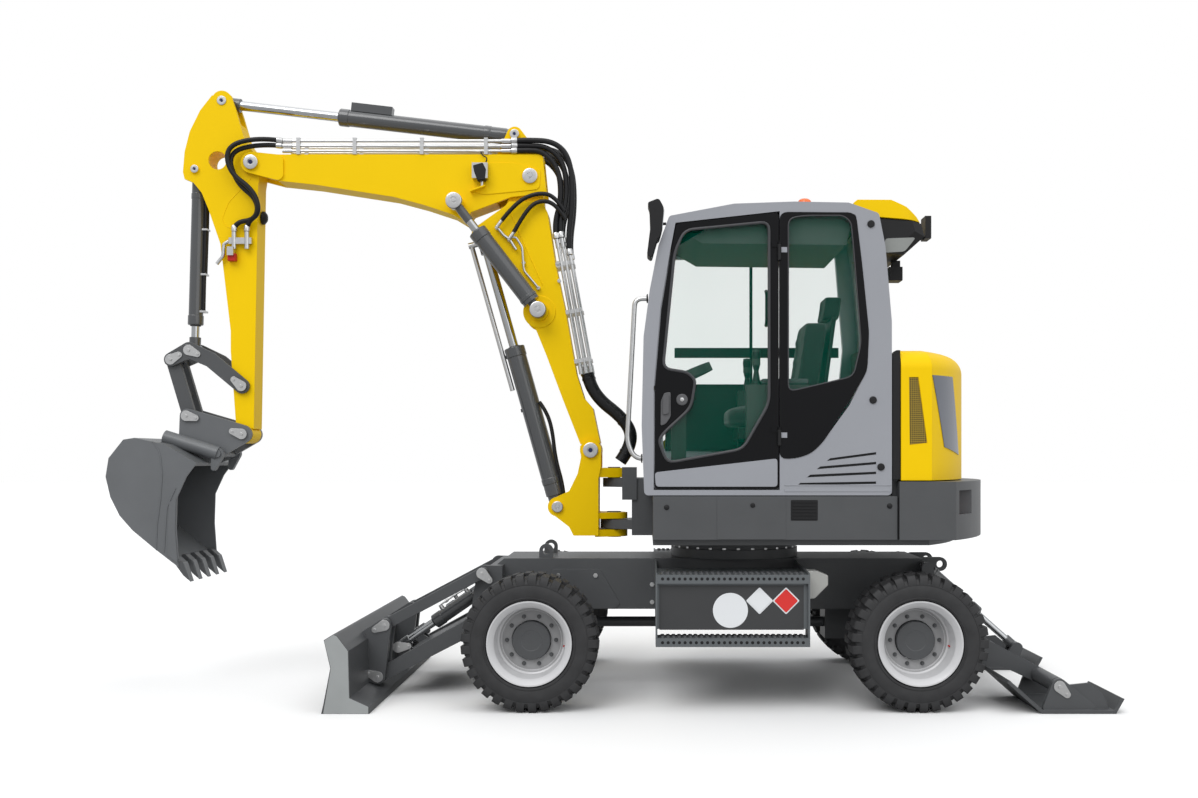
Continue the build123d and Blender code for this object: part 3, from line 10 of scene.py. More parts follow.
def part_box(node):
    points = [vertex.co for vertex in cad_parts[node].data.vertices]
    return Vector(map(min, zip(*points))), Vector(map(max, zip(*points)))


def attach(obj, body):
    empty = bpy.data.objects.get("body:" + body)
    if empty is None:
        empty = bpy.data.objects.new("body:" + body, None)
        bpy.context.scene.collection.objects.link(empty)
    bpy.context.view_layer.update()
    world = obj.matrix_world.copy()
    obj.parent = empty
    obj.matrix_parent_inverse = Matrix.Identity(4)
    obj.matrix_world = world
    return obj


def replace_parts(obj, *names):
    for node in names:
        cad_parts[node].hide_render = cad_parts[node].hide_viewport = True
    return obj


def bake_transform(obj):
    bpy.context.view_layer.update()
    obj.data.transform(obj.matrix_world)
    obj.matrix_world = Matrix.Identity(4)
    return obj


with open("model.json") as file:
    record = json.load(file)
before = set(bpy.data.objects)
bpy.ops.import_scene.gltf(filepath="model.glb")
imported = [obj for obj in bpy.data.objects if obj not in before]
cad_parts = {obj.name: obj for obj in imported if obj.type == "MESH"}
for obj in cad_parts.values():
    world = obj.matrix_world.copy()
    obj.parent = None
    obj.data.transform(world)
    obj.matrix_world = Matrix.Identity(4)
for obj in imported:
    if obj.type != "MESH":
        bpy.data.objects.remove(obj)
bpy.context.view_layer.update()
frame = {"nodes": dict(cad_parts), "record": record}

bl_info = {
    "name": "Wheeled Excavator",
    "version": (1, 0, 0),
    "blender": (4, 5, 0),
    "location": "3D View > Sidebar > Excavator",
    "description": "Dresses the packed excavator frame with finishes and fine detail",
    "category": "Object",
}

# The photograph's frame in pixels, and the camera that took it, in metres
IMAGE_WIDTH = 1198
IMAGE_HEIGHT = 798
FOCAL_PIXELS = 1248
PRINCIPAL_X = 646
PRINCIPAL_Y = 457
CAMERA_PLACE = (0.316, -8.09, 1.46)
SENSOR_WIDTH = 36.0

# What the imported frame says
JOINTS = {joint["name"]: joint for joint in frame["record"]["behaviour"]["joints"]}
RECORD_SLOTS = {part["node"]: part["material_slot"] for part in frame["record"]["subparts"]}
NODE_BODIES = {node: body for body, nodes in frame["record"]["behaviour"]["bodies"].items() for node in nodes}


# Pin places that no hinge names, as (x, z)
LIFT_HEAD = (-0.739, 2.881)
ADJUST_HEAD = (-0.895, 3.075)
ARM_CYLINDER_HEAD = (-2.406, 3.747)
BUCKET_CYLINDER_HEAD = (-2.608, 2.144)
ROCKER_CREST = (-2.47, 2.082)
LINK_TOP = (-2.724, 2.084)
BLADE_CYLINDER_EYE = (-1.222, 0.279)
BLADE_HEAD = (-1.274, 0.438)
STABILISER_CYLINDER_EYE = (2.59, 0.29)

# Side faces, measured out from the middle plane
BOOM_SIDE = 0.105
ARM_SIDE = 0.085
HOUSE_SIDE = 0.955
CAB_SIDE = 0.95
STEP_SIDE = 0.97
WHEEL_MIDDLE = 0.85
SIDES = (-1, 1)
LEFT = (-1,)
# How far a laid-on plate stays off the face behind it
SKIN_GAP = 0.0002
# Angles in degrees from which an edge is shaded sharp, and from which it is rounded
SHARP_FROM = 34
ROUND_FROM = 32
# CAD meshes: how close two points are one, and how flat two faces are one, in metres and degrees
SAME_POINT = 2e-5
SAME_FACE = 0.6


# Sizes and colours that a user may change
class MachineLooks(bpy.types.PropertyGroup):
    yellow: FloatVectorProperty(
        name="Machine yellow", description="Paint of booms, arm and hood", subtype="COLOR",
        size=3, min=0, max=1, default=(0.92, 0.6, 0.0))
    dark_grey: FloatVectorProperty(
        name="Dark grey", description="Paint of chassis, skirts, blade and bucket", subtype="COLOR",
        size=3, min=0, max=1, default=(0.068, 0.071, 0.075))
    silver: FloatVectorProperty(
        name="Cab silver", description="Paint of the cab", subtype="COLOR",
        size=3, min=0, max=1, default=(0.31, 0.32, 0.35))
    rim: FloatVectorProperty(
        name="Rim silver", description="Paint of the rims", subtype="COLOR",
        size=3, min=0, max=1, default=(0.6, 0.6, 0.61))
    edge_round: FloatProperty(
        name="Edge rounding", description="Radius of the plates' edges", unit="LENGTH",
        default=0.003, min=0.0005, max=0.01)
    edge_steps: IntProperty(
        name="Edge steps", description="Facets across a rounded edge", default=2, min=1, max=4)
    nut_count: IntProperty(
        name="Wheel nuts", description="Nuts that hold each wheel", default=10, min=4, max=20)
    lug_count: IntProperty(
        name="Tyre lugs", description="Lugs round each side of a tyre", default=33, min=12, max=60)
    tread_holes: IntProperty(
        name="Step holes", description="Grip holes along a step", default=26, min=6, max=40)


# Node trees written as Python expressions
class Wire:
    """An output socket that takes arithmetic, one Math node for each operation."""

    def __init__(self, tree, socket):
        self.tree = tree
        self.socket = socket

    def _maths(self, operation, first, second):
        return self.tree.node("ShaderNodeMath", first, second, settings={"operation": operation})

    def __add__(self, other):
        return self._maths("ADD", self, other)


    def __rsub__(self, other):
        return self._maths("SUBTRACT", other, self)

    def __mul__(self, other):
        return self._maths("MULTIPLY", self, other)

    def above(self, other):
        return self._maths("GREATER_THAN", self, other)


class NodeTree:
    """Adds nodes with their settings and input values in one call."""

    def __init__(self, tree):
        self.nodes = tree.nodes
        self.links = tree.links

    def node(self, kind, *values, settings=None, output=0, **named):
        made = self.nodes.new(kind)
        for key, value in (settings or {}).items():
            setattr(made, key, value)
        for index, value in enumerate(values):
            self._feed(made.inputs[index], value)
        for label, value in named.items():
            self._feed(made.inputs[label.replace("_", " ")], value)
        return Wire(self, made.outputs[output])

    def end(self, kind, value):
        """Feed a value to the tree's output node."""
        self._feed(self.nodes.new(kind).inputs[0], value)

    def _feed(self, socket, value):
        if isinstance(value, Wire):
            self.links.new(value.socket, socket)
        elif value is not None:
            socket.default_value = value


class FinishTree(NodeTree):
    """The nodes of one material."""

    def __init__(self, name):
        self.material = bpy.data.materials.new(name + "_finish")
        self.material.use_nodes = True
        super().__init__(self.material.node_tree)
        self.nodes.clear()

    def place(self):
        return self.node("ShaderNodeTexCoord", output="Object")

    def noise(self, scale, detail):
        return self.node("ShaderNodeTexNoise", Vector=self.place(), Scale=scale, Detail=detail, Roughness=0.5)

    def wave(self, direction, scale, place=None):
        return self.node("ShaderNodeTexWave", settings={"bands_direction": direction},
                         Vector=place or self.place(), Scale=scale)

    def mix(self, factor, first, second):
        made = self.nodes.new("ShaderNodeMix")
        made.data_type = "RGBA"
        # An RGBA mix has its factor in socket 0, its colours in 6 and 7, and its result in output 2
        for index, value in ((0, factor), (6, first), (7, second)):
            self._feed(made.inputs[index], value)
        return Wire(self, made.outputs[2])

    def bump(self, height, strength, distance):
        return self.node("ShaderNodeBump", Strength=strength, Distance=distance, Height=height)

    def surface(self, **named):
        self.end("ShaderNodeOutputMaterial", self.node("ShaderNodeBsdfPrincipled", **named))
        return self.material


def opaque(colour, share=1.0):
    """A colour with alpha, scaled by a share."""
    return (colour[0] * share, colour[1] * share, colour[2] * share, 1.0)


# Finishes
def paint(name, colour, roughness, coat, flow=0.06, shine=0.5):
    """Sprayed paint: slight cloudiness, and orange peel."""
    tree = FinishTree(name)
    cloud = tree.noise(3.0, 4.0)
    peel = tree.noise(420.0, 1.0)
    return tree.surface(
        Base_Color=tree.mix(cloud, opaque(colour, 1 - flow), opaque(colour, 1 + flow)),
        Roughness=cloud * 0.1 + (roughness - 0.05), Coat_Weight=coat, Coat_Roughness=0.08,
        Specular_IOR_Level=shine, Normal=tree.bump(peel, 0.06, 0.0006))


def cast(name, colour, roughness):
    """Painted casting or thick plate with a faint sandy surface."""
    tree = FinishTree(name)
    cloud = tree.noise(5.0, 5.0)
    grain = tree.noise(260.0, 3.0)
    return tree.surface(
        Base_Color=tree.mix(cloud, opaque(colour, 0.88), opaque(colour, 1.14)),
        Roughness=grain * 0.16 + (roughness - 0.08), Coat_Weight=0.15, Coat_Roughness=0.2,
        Normal=tree.bump(grain, 0.12, 0.001))


def bare_metal(name, colour, roughness, streak=180.0):
    """Polished or plated steel with fine streaks."""
    tree = FinishTree(name)
    streaks = tree.noise(streak, 2.0)
    return tree.surface(
        Base_Color=tree.mix(streaks, opaque(colour, 0.9), opaque(colour, 1.05)), Metallic=1.0,
        Roughness=streaks * 0.08 + (roughness - 0.04))


def moulded(name, colour, roughness, grain_scale=700.0, shine=0.3):
    """Moulded plastic or rubber with a fine leather-like grain."""
    tree = FinishTree(name)
    grain = tree.node("ShaderNodeTexVoronoi", settings={"feature": "F1"}, Vector=tree.place(),
                      Scale=grain_scale)
    cloud = tree.noise(9.0, 3.0)
    return tree.surface(
        Base_Color=tree.mix(cloud, opaque(colour, 0.85), opaque(colour, 1.2)),
        Roughness=cloud * 0.12 + (roughness - 0.06), Specular_IOR_Level=shine,
        Normal=tree.bump(grain, 0.12, 0.0006))


def dusty_rubber(name, clean, dusty):
    """Black rubber, dusted a little unevenly."""
    tree = FinishTree(name)
    cloud = tree.noise(14.0, 5.0)
    grain = tree.noise(500.0, 2.0)
    return tree.surface(
        Base_Color=tree.mix(cloud, opaque(clean), opaque(dusty)), Roughness=cloud * 0.2 + 0.5,
        Specular_IOR_Level=0.3, Normal=tree.bump(grain, 0.15, 0.0008))


def woven(name, colour):
    """Seat cloth: crossed ribs of warp and weft with a light nap."""
    tree = FinishTree(name)
    place = tree.place()
    cloth = tree.wave("X", 160.0, place) * tree.wave("Z", 160.0, place)
    return tree.surface(
        Base_Color=tree.mix(cloth, opaque(colour, 0.7), opaque(colour, 1.4)), Roughness=0.9,
        Sheen_Weight=0.25, Normal=tree.bump(cloth, 0.3, 0.0008))


def perforated(name, colour, pitch):
    """Sheet with rows of holes painted near-black as painted shade, for a ventilation grille."""
    tree = FinishTree(name)
    place = tree.place()
    scale = 2 * math.pi / pitch / 20.0
    hole = (tree.wave("X", scale, place) * tree.wave("Z", scale, place)).above(0.3)
    return tree.surface(
        # Near-black in the holes: painted shade, as no opening is cut
        Base_Color=tree.mix(hole, opaque(colour), (0.01, 0.01, 0.01, 1)), Roughness=hole * 0.3 + 0.45,
        Normal=tree.bump(1 - hole, 0.5, 0.002))


def window_glass(name, tint, cover):
    """Lightly tinted glass that the alpha lets most light through."""
    tree = FinishTree(name)
    smear = tree.noise(2.0, 3.0)
    return tree.surface(
        Base_Color=opaque(tint), Roughness=smear * 0.03 + 0.01, Alpha=smear * 0.03 + cover,
        Specular_IOR_Level=0.2, IOR=1.45)


def lamp_lens(name, colour, glow=0.0):
    """Moulded lens with upright ribs."""
    tree = FinishTree(name)
    ribs = tree.wave("Z", 60.0)
    return tree.surface(
        Base_Color=opaque(colour), Roughness=ribs * 0.04 + 0.1, Coat_Weight=0.6,
        Normal=tree.bump(ribs, 0.25, 0.001), Emission_Color=opaque(colour), Emission_Strength=glow)


# Recipe, colour or the name of a colour that a user may change, and the recipe's other settings
FINISHES = {
    "yellow_paint": (paint, "yellow", 0.42, 0.0, 0.03, 0.12),
    # Lighter grey on the blade's end plates: painted light where the side is lit
    "chassis_grey": (cast, "dark_grey", 0.45),
    # Darker grey for the rings on the rim's disc: painted shade
    "blade_grey": (cast, (0.33, 0.345, 0.345), 0.4),
    "rim_grey": (cast, (0.32, 0.32, 0.325), 0.4),
    "counterweight_iron": (cast, "dark_grey", 0.4),
    "engine_iron": (cast, (0.1, 0.1, 0.1), 0.6),
    "cab_silver": (paint, "silver", 0.4, 0.15, 0.03),
    "black_plastic": (moulded, (0.01, 0.01, 0.011), 0.5),
    "seal_rubber": (moulded, (0.06, 0.06, 0.065), 0.4),
    "trim_grey": (moulded, (0.05, 0.052, 0.05), 0.55),
    "liner_grey": (moulded, (0.26, 0.27, 0.26), 0.7, 300.0),
    "liner_dark": (moulded, (0.075, 0.078, 0.075), 0.75, 300.0, 0.15),
    "handle_grey": (moulded, (0.1, 0.1, 0.105), 0.45),
    "panel_grey": (cast, (0.036, 0.037, 0.039), 0.5),
    "glass": (window_glass, (0.0, 0.3, 0.19), 0.052),
    "quarter_glass": (paint, (0.1, 0.11, 0.14), 0.12, 0.6),
    "mirror": (bare_metal, (0.85, 0.86, 0.88), 0.07, 40.0),
    "seat_fabric": (woven, (0.022, 0.022, 0.024)),
    "rim_silver": (paint, "rim", 0.3, 0.2, 0.03),
    "tyre_rubber": (dusty_rubber, (0.022, 0.022, 0.023), (0.048, 0.048, 0.05)),
    "cylinder_paint": (paint, "dark_grey", 0.22, 0.6),
    "bucket_grey": (cast, (0.125, 0.131, 0.138), 0.42),
    "chrome": (bare_metal, (0.52, 0.53, 0.54), 0.14),
    "hose_rubber": (moulded, (0.009, 0.009, 0.01), 0.42),
    "zinc": (bare_metal, (0.66, 0.66, 0.66), 0.3, 90.0),
    "black_gloss": (paint, (0.004, 0.004, 0.005), 0.25, 0.0, 0.06, 0.2),
    "orange_lens": (lamp_lens, (0.85, 0.13, 0.0), 0.05),
    "red_lens": (lamp_lens, (0.55, 0.015, 0.01), 0.05),
    "clear_lens": (lamp_lens, (0.75, 0.78, 0.8)),
    "red_cap": (moulded, (0.5, 0.02, 0.015), 0.4),
    "socket_blue": (moulded, (0.012, 0.02, 0.08), 0.4),
    "white_sign": (paint, (0.8, 0.82, 0.84), 0.3, 0.5, 0.01),
    "red_sign": (paint, (0.72, 0.02, 0.015), 0.3, 0.5, 0.01),
    # Grille sheet whose holes are painted near-black: painted shade
    "grille_mesh": (perforated, (0.3, 0.2, 0.01), 0.012),
    "tank_grey": (paint, (0.42, 0.42, 0.4), 0.4, 0.2),
}


def finish(name):
    """The finish's material, made when it is first asked for."""
    made = bpy.data.materials.get(name + "_finish")
    if made:
        return made
    recipe, colour, *settings = FINISHES[name]
    if isinstance(colour, str):
        colour = getattr(bpy.context.scene.machine_looks, colour)
    return recipe(name, colour, *settings)


# Mesh helpers
def add_piece(name, mesh, body, material, sharp=SHARP_FROM):
    """Link a finished mesh as a piece that rides on a body."""
    if not mesh.has_custom_normals:
        mesh.shade_smooth()
        mesh.set_sharp_from_angle(angle=math.radians(sharp))
    piece = bpy.data.objects.new(name, mesh)
    bpy.context.scene.collection.objects.link(piece)
    mesh.materials.clear()
    mesh.materials.append(finish(material))
    if body:
        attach(piece, body)
    return piece


def draft_of(data):
    """An unfinished object in the scene that holds some data."""
    draft = bpy.data.objects.new(data.name + "_draft", data)
    bpy.context.scene.collection.objects.link(draft)
    return draft


def settled(draft):
    """The mesh of a draft with its modifiers applied; the draft goes."""
    graph = bpy.context.evaluated_depsgraph_get()
    graph.update()
    mesh = bpy.data.meshes.new_from_object(draft.evaluated_get(graph))
    bpy.data.objects.remove(draft)
    return mesh


def rounded(mesh, width, steps):
    """A copy of a mesh with its sharp edges bevelled and its flat faces shaded flat."""
    mesh.shade_smooth()
    draft = draft_of(mesh)
    bevel = draft.modifiers.new("Rounding", "BEVEL")
    bevel.width = width
    bevel.segments = steps
    bevel.limit_method = "ANGLE"
    bevel.angle_limit = math.radians(ROUND_FROM)
    bevel.use_clamp_overlap = True
    bevel.loop_slide = False
    draft.modifiers.new("Shading", "WEIGHTED_NORMAL").weight = 100
    return settled(draft)


def cleaned_node(node):
    """A CAD node's mesh, joined up and with its flat faces whole."""
    shape = bmesh.new()
    shape.from_mesh(frame["nodes"][node].data)
    bmesh.ops.remove_doubles(shape, verts=shape.verts, dist=SAME_POINT)
    bmesh.ops.dissolve_limit(shape, angle_limit=math.radians(SAME_FACE), verts=shape.verts, edges=shape.edges)
    mesh = bpy.data.meshes.new(node + "_dressed")
    shape.to_mesh(mesh)
    shape.free()
    return mesh


def joined(name, meshes):
    """Several meshes as one."""
    shape = bmesh.new()
    for mesh in meshes:
        shape.from_mesh(mesh)
    whole = bpy.data.meshes.new(name)
    shape.to_mesh(whole)
    shape.free()
    return whole


def circle(radius, steps):
    """The (u, v) points of a circle."""
    turns = [2 * math.pi * step / steps for step in range(steps)]
    return [(radius * math.cos(turn), radius * math.sin(turn)) for turn in turns]


def corner_curve(before, corner, after, reach, steps):
    """The points of a curve that cuts a corner off, from a reach before it to a reach after it."""
    start = corner + (before - corner).normalized() * reach
    end = corner + (after - corner).normalized() * reach
    shares = [step / steps for step in range(steps + 1)]
    return [start * (1 - share) ** 2 + corner * 2 * share * (1 - share) + end * share ** 2 for share in shares]


def bent(points, reach):
    """A bent bar's path: straight runs with a curve at each corner."""
    corners = [Vector(point) for point in points]
    path = [corners[0]]
    for before, corner, after in zip(corners, corners[1:], corners[2:]):
        path += corner_curve(before, corner, after, reach, 5)
    return path + [corners[-1]]


def round_outline(points, reach):
    """A closed (x, z) outline with its corners rounded."""
    loop = [Vector((x, 0, z)) for x, z in points]
    outline = []
    for before, corner, after in zip(loop[-1:] + loop, loop, loop[1:] + loop[:1]):
        near = min(reach, (before - corner).length * 0.45, (after - corner).length * 0.45)
        outline += [(point.x, point.z) for point in corner_curve(before, corner, after, near, 4)]
    return outline


def hose_path(points):
    """The points along a smooth curve that the given points pull to themselves."""
    curve = bpy.data.curves.new("hose_path", "CURVE")
    curve.dimensions = "3D"
    curve.resolution_u = 8
    spline = curve.splines.new("NURBS")
    spline.points.add(len(points) - 1)
    for knot, point in zip(spline.points, points):
        knot.co = (*point, 1)
    spline.order_u = 3
    spline.use_endpoint_u = True
    line = settled(draft_of(curve))
    return [vertex.co.copy() for vertex in line.vertices]


def cut_plate(outlines, near, far):
    """A flat plate between two y planes: the first (x, z) outline less the others."""
    edge = 0.0005
    curve = bpy.data.curves.new("plate", "CURVE")
    curve.dimensions = "2D"
    curve.fill_mode = "BOTH"
    curve.extrude = abs(far - near) / 2 - edge
    curve.bevel_depth = edge
    curve.bevel_resolution = 1
    curve.offset = -edge
    for outline in outlines:
        spline = curve.splines.new("POLY")
        spline.points.add(len(outline) - 1)
        for knot, (x, z) in zip(spline.points, outline):
            knot.co = (x, z, 0, 1)
        spline.use_cyclic_u = True
    mesh = settled(draft_of(curve))
    mesh.transform(Matrix.Translation((0, (near + far) / 2, 0)) @ Matrix.Rotation(math.pi / 2, 4, "X"))
    return mesh


class Forge:
    """Closed solids gathered for one piece. Each shape gives back the forge, so that more can follow."""

    def __init__(self):
        self.shape = bmesh.new()

    def skin(self, rings, closed=False):
        """Faces from each ring of points to the next, with end faces unless it closes on itself."""
        loops = [[self.shape.verts.new(point) for point in ring] for ring in rings]
        pairs = list(zip(loops, loops[1:]))
        if closed:
            pairs.append((loops[-1], loops[0]))
        for first, second in pairs:
            for index in range(len(first)):
                after = (index + 1) % len(first)
                self.shape.faces.new((first[index], first[after], second[after], second[index]))
        if not closed:
            self.shape.faces.new(loops[0][::-1])
            self.shape.faces.new(loops[-1])
        return self

    def prism(self, outline, near, far):
        """An (x, z) outline between two y planes."""
        return self.skin([[(x, y, z) for x, z in outline] for y in (near, far)])

    def pair(self, outline, inner, outer):
        """An (x, z) outline on both sides, between two distances from the middle plane."""
        for side in SIDES:
            self.prism(outline, side * inner, side * outer)
        return self

    def plate(self, outline, depth, thickness, sides=SIDES):
        """An (x, z) outline laid on the side faces."""
        for side in sides:
            self.prism(outline, side * (depth + SKIN_GAP), side * (depth + SKIN_GAP + thickness))
        return self

    def box(self, low, high):
        return self.prism([(low[0], low[2]), (high[0], low[2]), (high[0], high[2]), (low[0], high[2])],
                          low[1], high[1])

    def lathe(self, profile, centre, axis=(0, 1, 0), steps=32, ring=False):
        """A profile of (radius, along) points turned about an axis; a ring closes on itself."""
        turn = Vector((0, 0, 1)).rotation_difference(Vector(axis))
        base = Vector(centre)
        return self.skin([[base + turn @ Vector((u, v, along)) for u, v in circle(radius, steps)]
                          for radius, along in profile], ring)

    def studs(self, profile, places, depth, steps, sides=SIDES):
        """Turned studs that point out of the side faces, at (x, z) places."""
        for side in sides:
            for x, z in places:
                self.lathe(profile, (x, side * depth, z), (0, side, 0), steps)
        return self

    def rod(self, start, end, radius, steps=16):
        """A plain round bar between two points."""
        run = Vector(end) - Vector(start)
        return self.lathe([(radius, 0), (radius, run.length)], start, run.normalized(), steps)

    def tube(self, path, radius, steps=12):
        """A round bar along a path, carried with no twist."""
        path = [Vector(point) for point in path]
        runs = [(after - before).normalized() for before, after in zip(path, path[1:])]
        ways = [runs[0]] + [(a + b).normalized() for a, b in zip(runs, runs[1:])] + [runs[-1]]
        up = Vector((0, 1, 0)) if abs(ways[0].y) < 0.9 else Vector((1, 0, 0))
        rings = []
        for spot, way in zip(path, ways):
            across = way.cross(up).normalized()
            up = across.cross(way).normalized()
            rings.append([spot + across * u + up * v for u, v in circle(radius, steps)])
        return self.skin(rings)

    def seam(self, outline, y, radius):
        """A round bead that closes on itself along an (x, z) outline."""
        path = [Vector((x, y, z)) for x, z in outline]
        up = Vector((0, 1, 0))
        rings = []
        for before, spot, after in zip(path[-1:] + path, path, path[1:] + path[:1]):
            across = (after - before).normalized().cross(up)
            rings.append([spot + across * u + up * v for u, v in circle(radius, 8)])
        return self.skin(rings, True)

    def mesh(self, name, edge=0.0):
        bmesh.ops.recalc_face_normals(self.shape, faces=self.shape.faces)
        mesh = bpy.data.meshes.new(name)
        self.shape.to_mesh(mesh)
        self.shape.free()
        return rounded(mesh, edge, 2) if edge else mesh

    def piece(self, name, body, material, slot=None, edge=0.0):
        return add_piece(name, self.mesh(name, edge), body, material)


# Repeats, made with geometry nodes
class RepeatTree(NodeTree):
    """A geometry node group that copies a part over a layout of points."""

    def __init__(self, name, sizes):
        self.group = bpy.data.node_groups.new(name, "GeometryNodeTree")
        super().__init__(self.group)
        sockets = self.group.interface
        sockets.new_socket("Geometry", in_out="OUTPUT", socket_type="NodeSocketGeometry")
        sockets.new_socket("Part", in_out="INPUT", socket_type="NodeSocketObject")
        sockets.new_socket("Material", in_out="INPUT", socket_type="NodeSocketMaterial")
        for label, kind in sizes:
            sockets.new_socket(label, in_out="INPUT", socket_type=kind)
        entry = self.nodes.new("NodeGroupInput")
        self.value = {socket.name: Wire(self, socket) for socket in entry.outputs if socket.name}

    def copy_to(self, points, rotation=None):
        part = self.node("GeometryNodeObjectInfo", self.value["Part"], output="Geometry")
        placed = self.node("GeometryNodeInstanceOnPoints", Points=points, Instance=part, Rotation=rotation)
        whole = self.node("GeometryNodeRealizeInstances", placed)
        self.end("NodeGroupOutput",
                 self.node("GeometryNodeSetMaterial", Geometry=whole, Material=self.value["Material"]))
        return self.group


def ring_layout():
    """Copies spaced evenly round a circle, each turned to face outward."""
    tree = RepeatTree("ring_of_copies", (("Count", "NodeSocketInt"), ("Radius", "NodeSocketFloat")))
    count = tree.value["Count"]
    circle_points = tree.node("GeometryNodeMeshCircle", Vertices=count, Radius=tree.value["Radius"])
    share = tree.node("ShaderNodeMath", 1.0, count, settings={"operation": "DIVIDE"})
    angle = tree.node("GeometryNodeInputIndex") * (2 * math.pi) * share
    return tree.copy_to(circle_points, tree.node("ShaderNodeCombineXYZ", Z=angle))


def grid_layout():
    """Copies in straight rows on a flat grid."""
    sizes = (("Columns", "NodeSocketInt"), ("Rows", "NodeSocketInt"), ("Width", "NodeSocketFloat"),
             ("Height", "NodeSocketFloat"))
    tree = RepeatTree("grid_of_copies", sizes)
    value = tree.value
    return tree.copy_to(tree.node("GeometryNodeMeshGrid", Size_X=value["Width"], Size_Y=value["Height"],
                                  Vertices_X=value["Columns"], Vertices_Y=value["Rows"]))


LAYOUTS = {"ring_of_copies": ring_layout, "grid_of_copies": grid_layout}


def repeat(part, layout, material, place, **sizes):
    """One mesh of a part copied over a layout, then moved to its place."""
    group = bpy.data.node_groups.get(layout) or LAYOUTS[layout]()
    source = draft_of(part)
    carrier = draft_of(bpy.data.meshes.new(part.name + "_copies"))
    modifier = carrier.modifiers.new("Copies", "NODES")
    modifier.node_group = group
    values = dict(sizes, Part=source, Material=finish(material))
    for socket in group.interface.items_tree:
        if socket.in_out == "INPUT":
            modifier[socket.identifier] = values[socket.name]
    mesh = settled(carrier)
    bpy.data.objects.remove(source)
    mesh.transform(place)
    return mesh


def facing(centre, out):
    """The placing of a flat layout: its own Z points out of the machine's side at a centre."""
    return Matrix.Translation(centre) @ Matrix.Rotation(math.pi / 2 if out < 0 else -math.pi / 2, 4, "X")


# Each finish with the CAD nodes that it dresses
DRESSED_NODES = {
    "yellow_paint": [
        "swing_bracket", "lower_boom", "upper_boom", "arm", "engine_hood", "right_cover", "cab_roof_cover"],
    "chassis_grey": [
        "chassis_frame", "front_axle", "rear_axle", "front_knuckle_left", "front_knuckle_right", "skirts",
        "blade_arms", "blade_board", "blade_links", "stabiliser_legs", "stabiliser_feet", "slew_ring",
        "rocker", "link", "house_frame"],
    "bucket_grey": ["bucket"],
    "counterweight_iron": ["counterweight"],
    "engine_iron": ["engine_block"],
    "cab_silver": ["cab_shell"],
    "black_gloss": ["cab_door"],
    "black_plastic": ["cab_roof_unit"],
    "trim_grey": ["cab_console"],
    "cylinder_paint": [
        "lift_cylinder_barrel", "arm_cylinder_barrel", "bucket_cylinder_barrel",
        "adjust_cylinder_barrels", "blade_cylinder_barrels", "stabiliser_cylinder_barrels"],
    "chrome": [
        "lift_cylinder_rod", "arm_cylinder_rod", "bucket_cylinder_rod", "adjust_cylinder_rods",
        "blade_cylinder_rods", "stabiliser_cylinder_rods"],
    "zinc": ["upper_boom_fittings", "lower_boom_fittings", "arm_coupler"],
}


class EXCAVATOR_OT_dress_plates(bpy.types.Operator):
    """Stand a rounded, painted copy in the place of each rigid CAD node"""
    bl_idname = "excavator.dress_plates"
    bl_label = "Dress the Plates"

    def execute(self, context):
        looks = context.scene.machine_looks
        for material, nodes in DRESSED_NODES.items():
            for node in nodes:
                mesh = rounded(cleaned_node(node), looks.edge_round, looks.edge_steps)
                piece = add_piece(node + "_dressed", mesh, NODE_BODIES[node], material)
                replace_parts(piece, node)
        return {"FINISHED"}


# Wheels, in a wheel's own frame: radius, and distance out from its middle plane
TYRE_SECTION = (
    (0.224, 0.113), (0.247, 0.127), (0.252, 0.141), (0.272, 0.146), (0.3, 0.1495), (0.326, 0.147),
    (0.345, 0.141), (0.354, 0.136), (0.366, 0.128), (0.373, 0.11), (0.3765, 0.05), (0.378, 0.0),
)
RIM_SECTION = (
    (0.244, 0.13), (0.245, 0.138), (0.243, 0.1435), (0.236, 0.143), (0.228, 0.136),
    (0.206, 0.118), (0.203, 0.11), (0.203, 0.045), (0.198, 0.035), (0.196, -0.01),
    (0.186, -0.018), (0.176, -0.02), (0.174, -0.027), (0.116, -0.027), (0.116, -0.048),
    (0.17, -0.049), (0.206, -0.02), (0.212, -0.11), (0.23, -0.13), (0.236, -0.143),
    (0.244, -0.143), (0.244, -0.13), (0.222, -0.115), (0.222, 0.115),
)
# Rings of darker grey laid on the rim's disc and in its groove: painted shade of the dish
RIM_SHADE_RINGS = (
    ((0.117, -0.0268), (0.117, -0.0258), (0.17, -0.0258), (0.1725, -0.0268)),
    ((0.1765, -0.0198), (0.178, -0.019), (0.185, -0.017), (0.1862, -0.0178)),
)
HUB_SECTION = (
    (0.112, -0.034), (0.112, 0.0), (0.108, 0.005), (0.06, 0.0075), (0.058, 0.006), (0.02, 0.0065))
VALVE_SECTION = ((0.005, 0), (0.004, 0.028), (0.003, 0.03))
VALVE_PLACE = Vector((0.19, 0, -0.03))
NUT_CIRCLE = 0.143
NUT_SEAT = -0.027
NUT_RADIUS = 0.0095
# Beads on a tyre's side: radius, and distance out
TYRE_BEADS = ((0.262, 0.1445), (0.338, 0.143))
LUG_CIRCLE = 0.372
LUG_HALF = 0.0258
# A lug's rings: distance along it, bottom, top, share of the half width
LUG_RINGS = (
    (-0.012, -0.006, 0.022, 0.7), (0.06, -0.006, 0.0225, 0.86), (0.128, -0.012, 0.02, 1.0),
    (0.139, -0.022, 0.01, 1.0), (0.1465, -0.034, -0.012, 0.94))


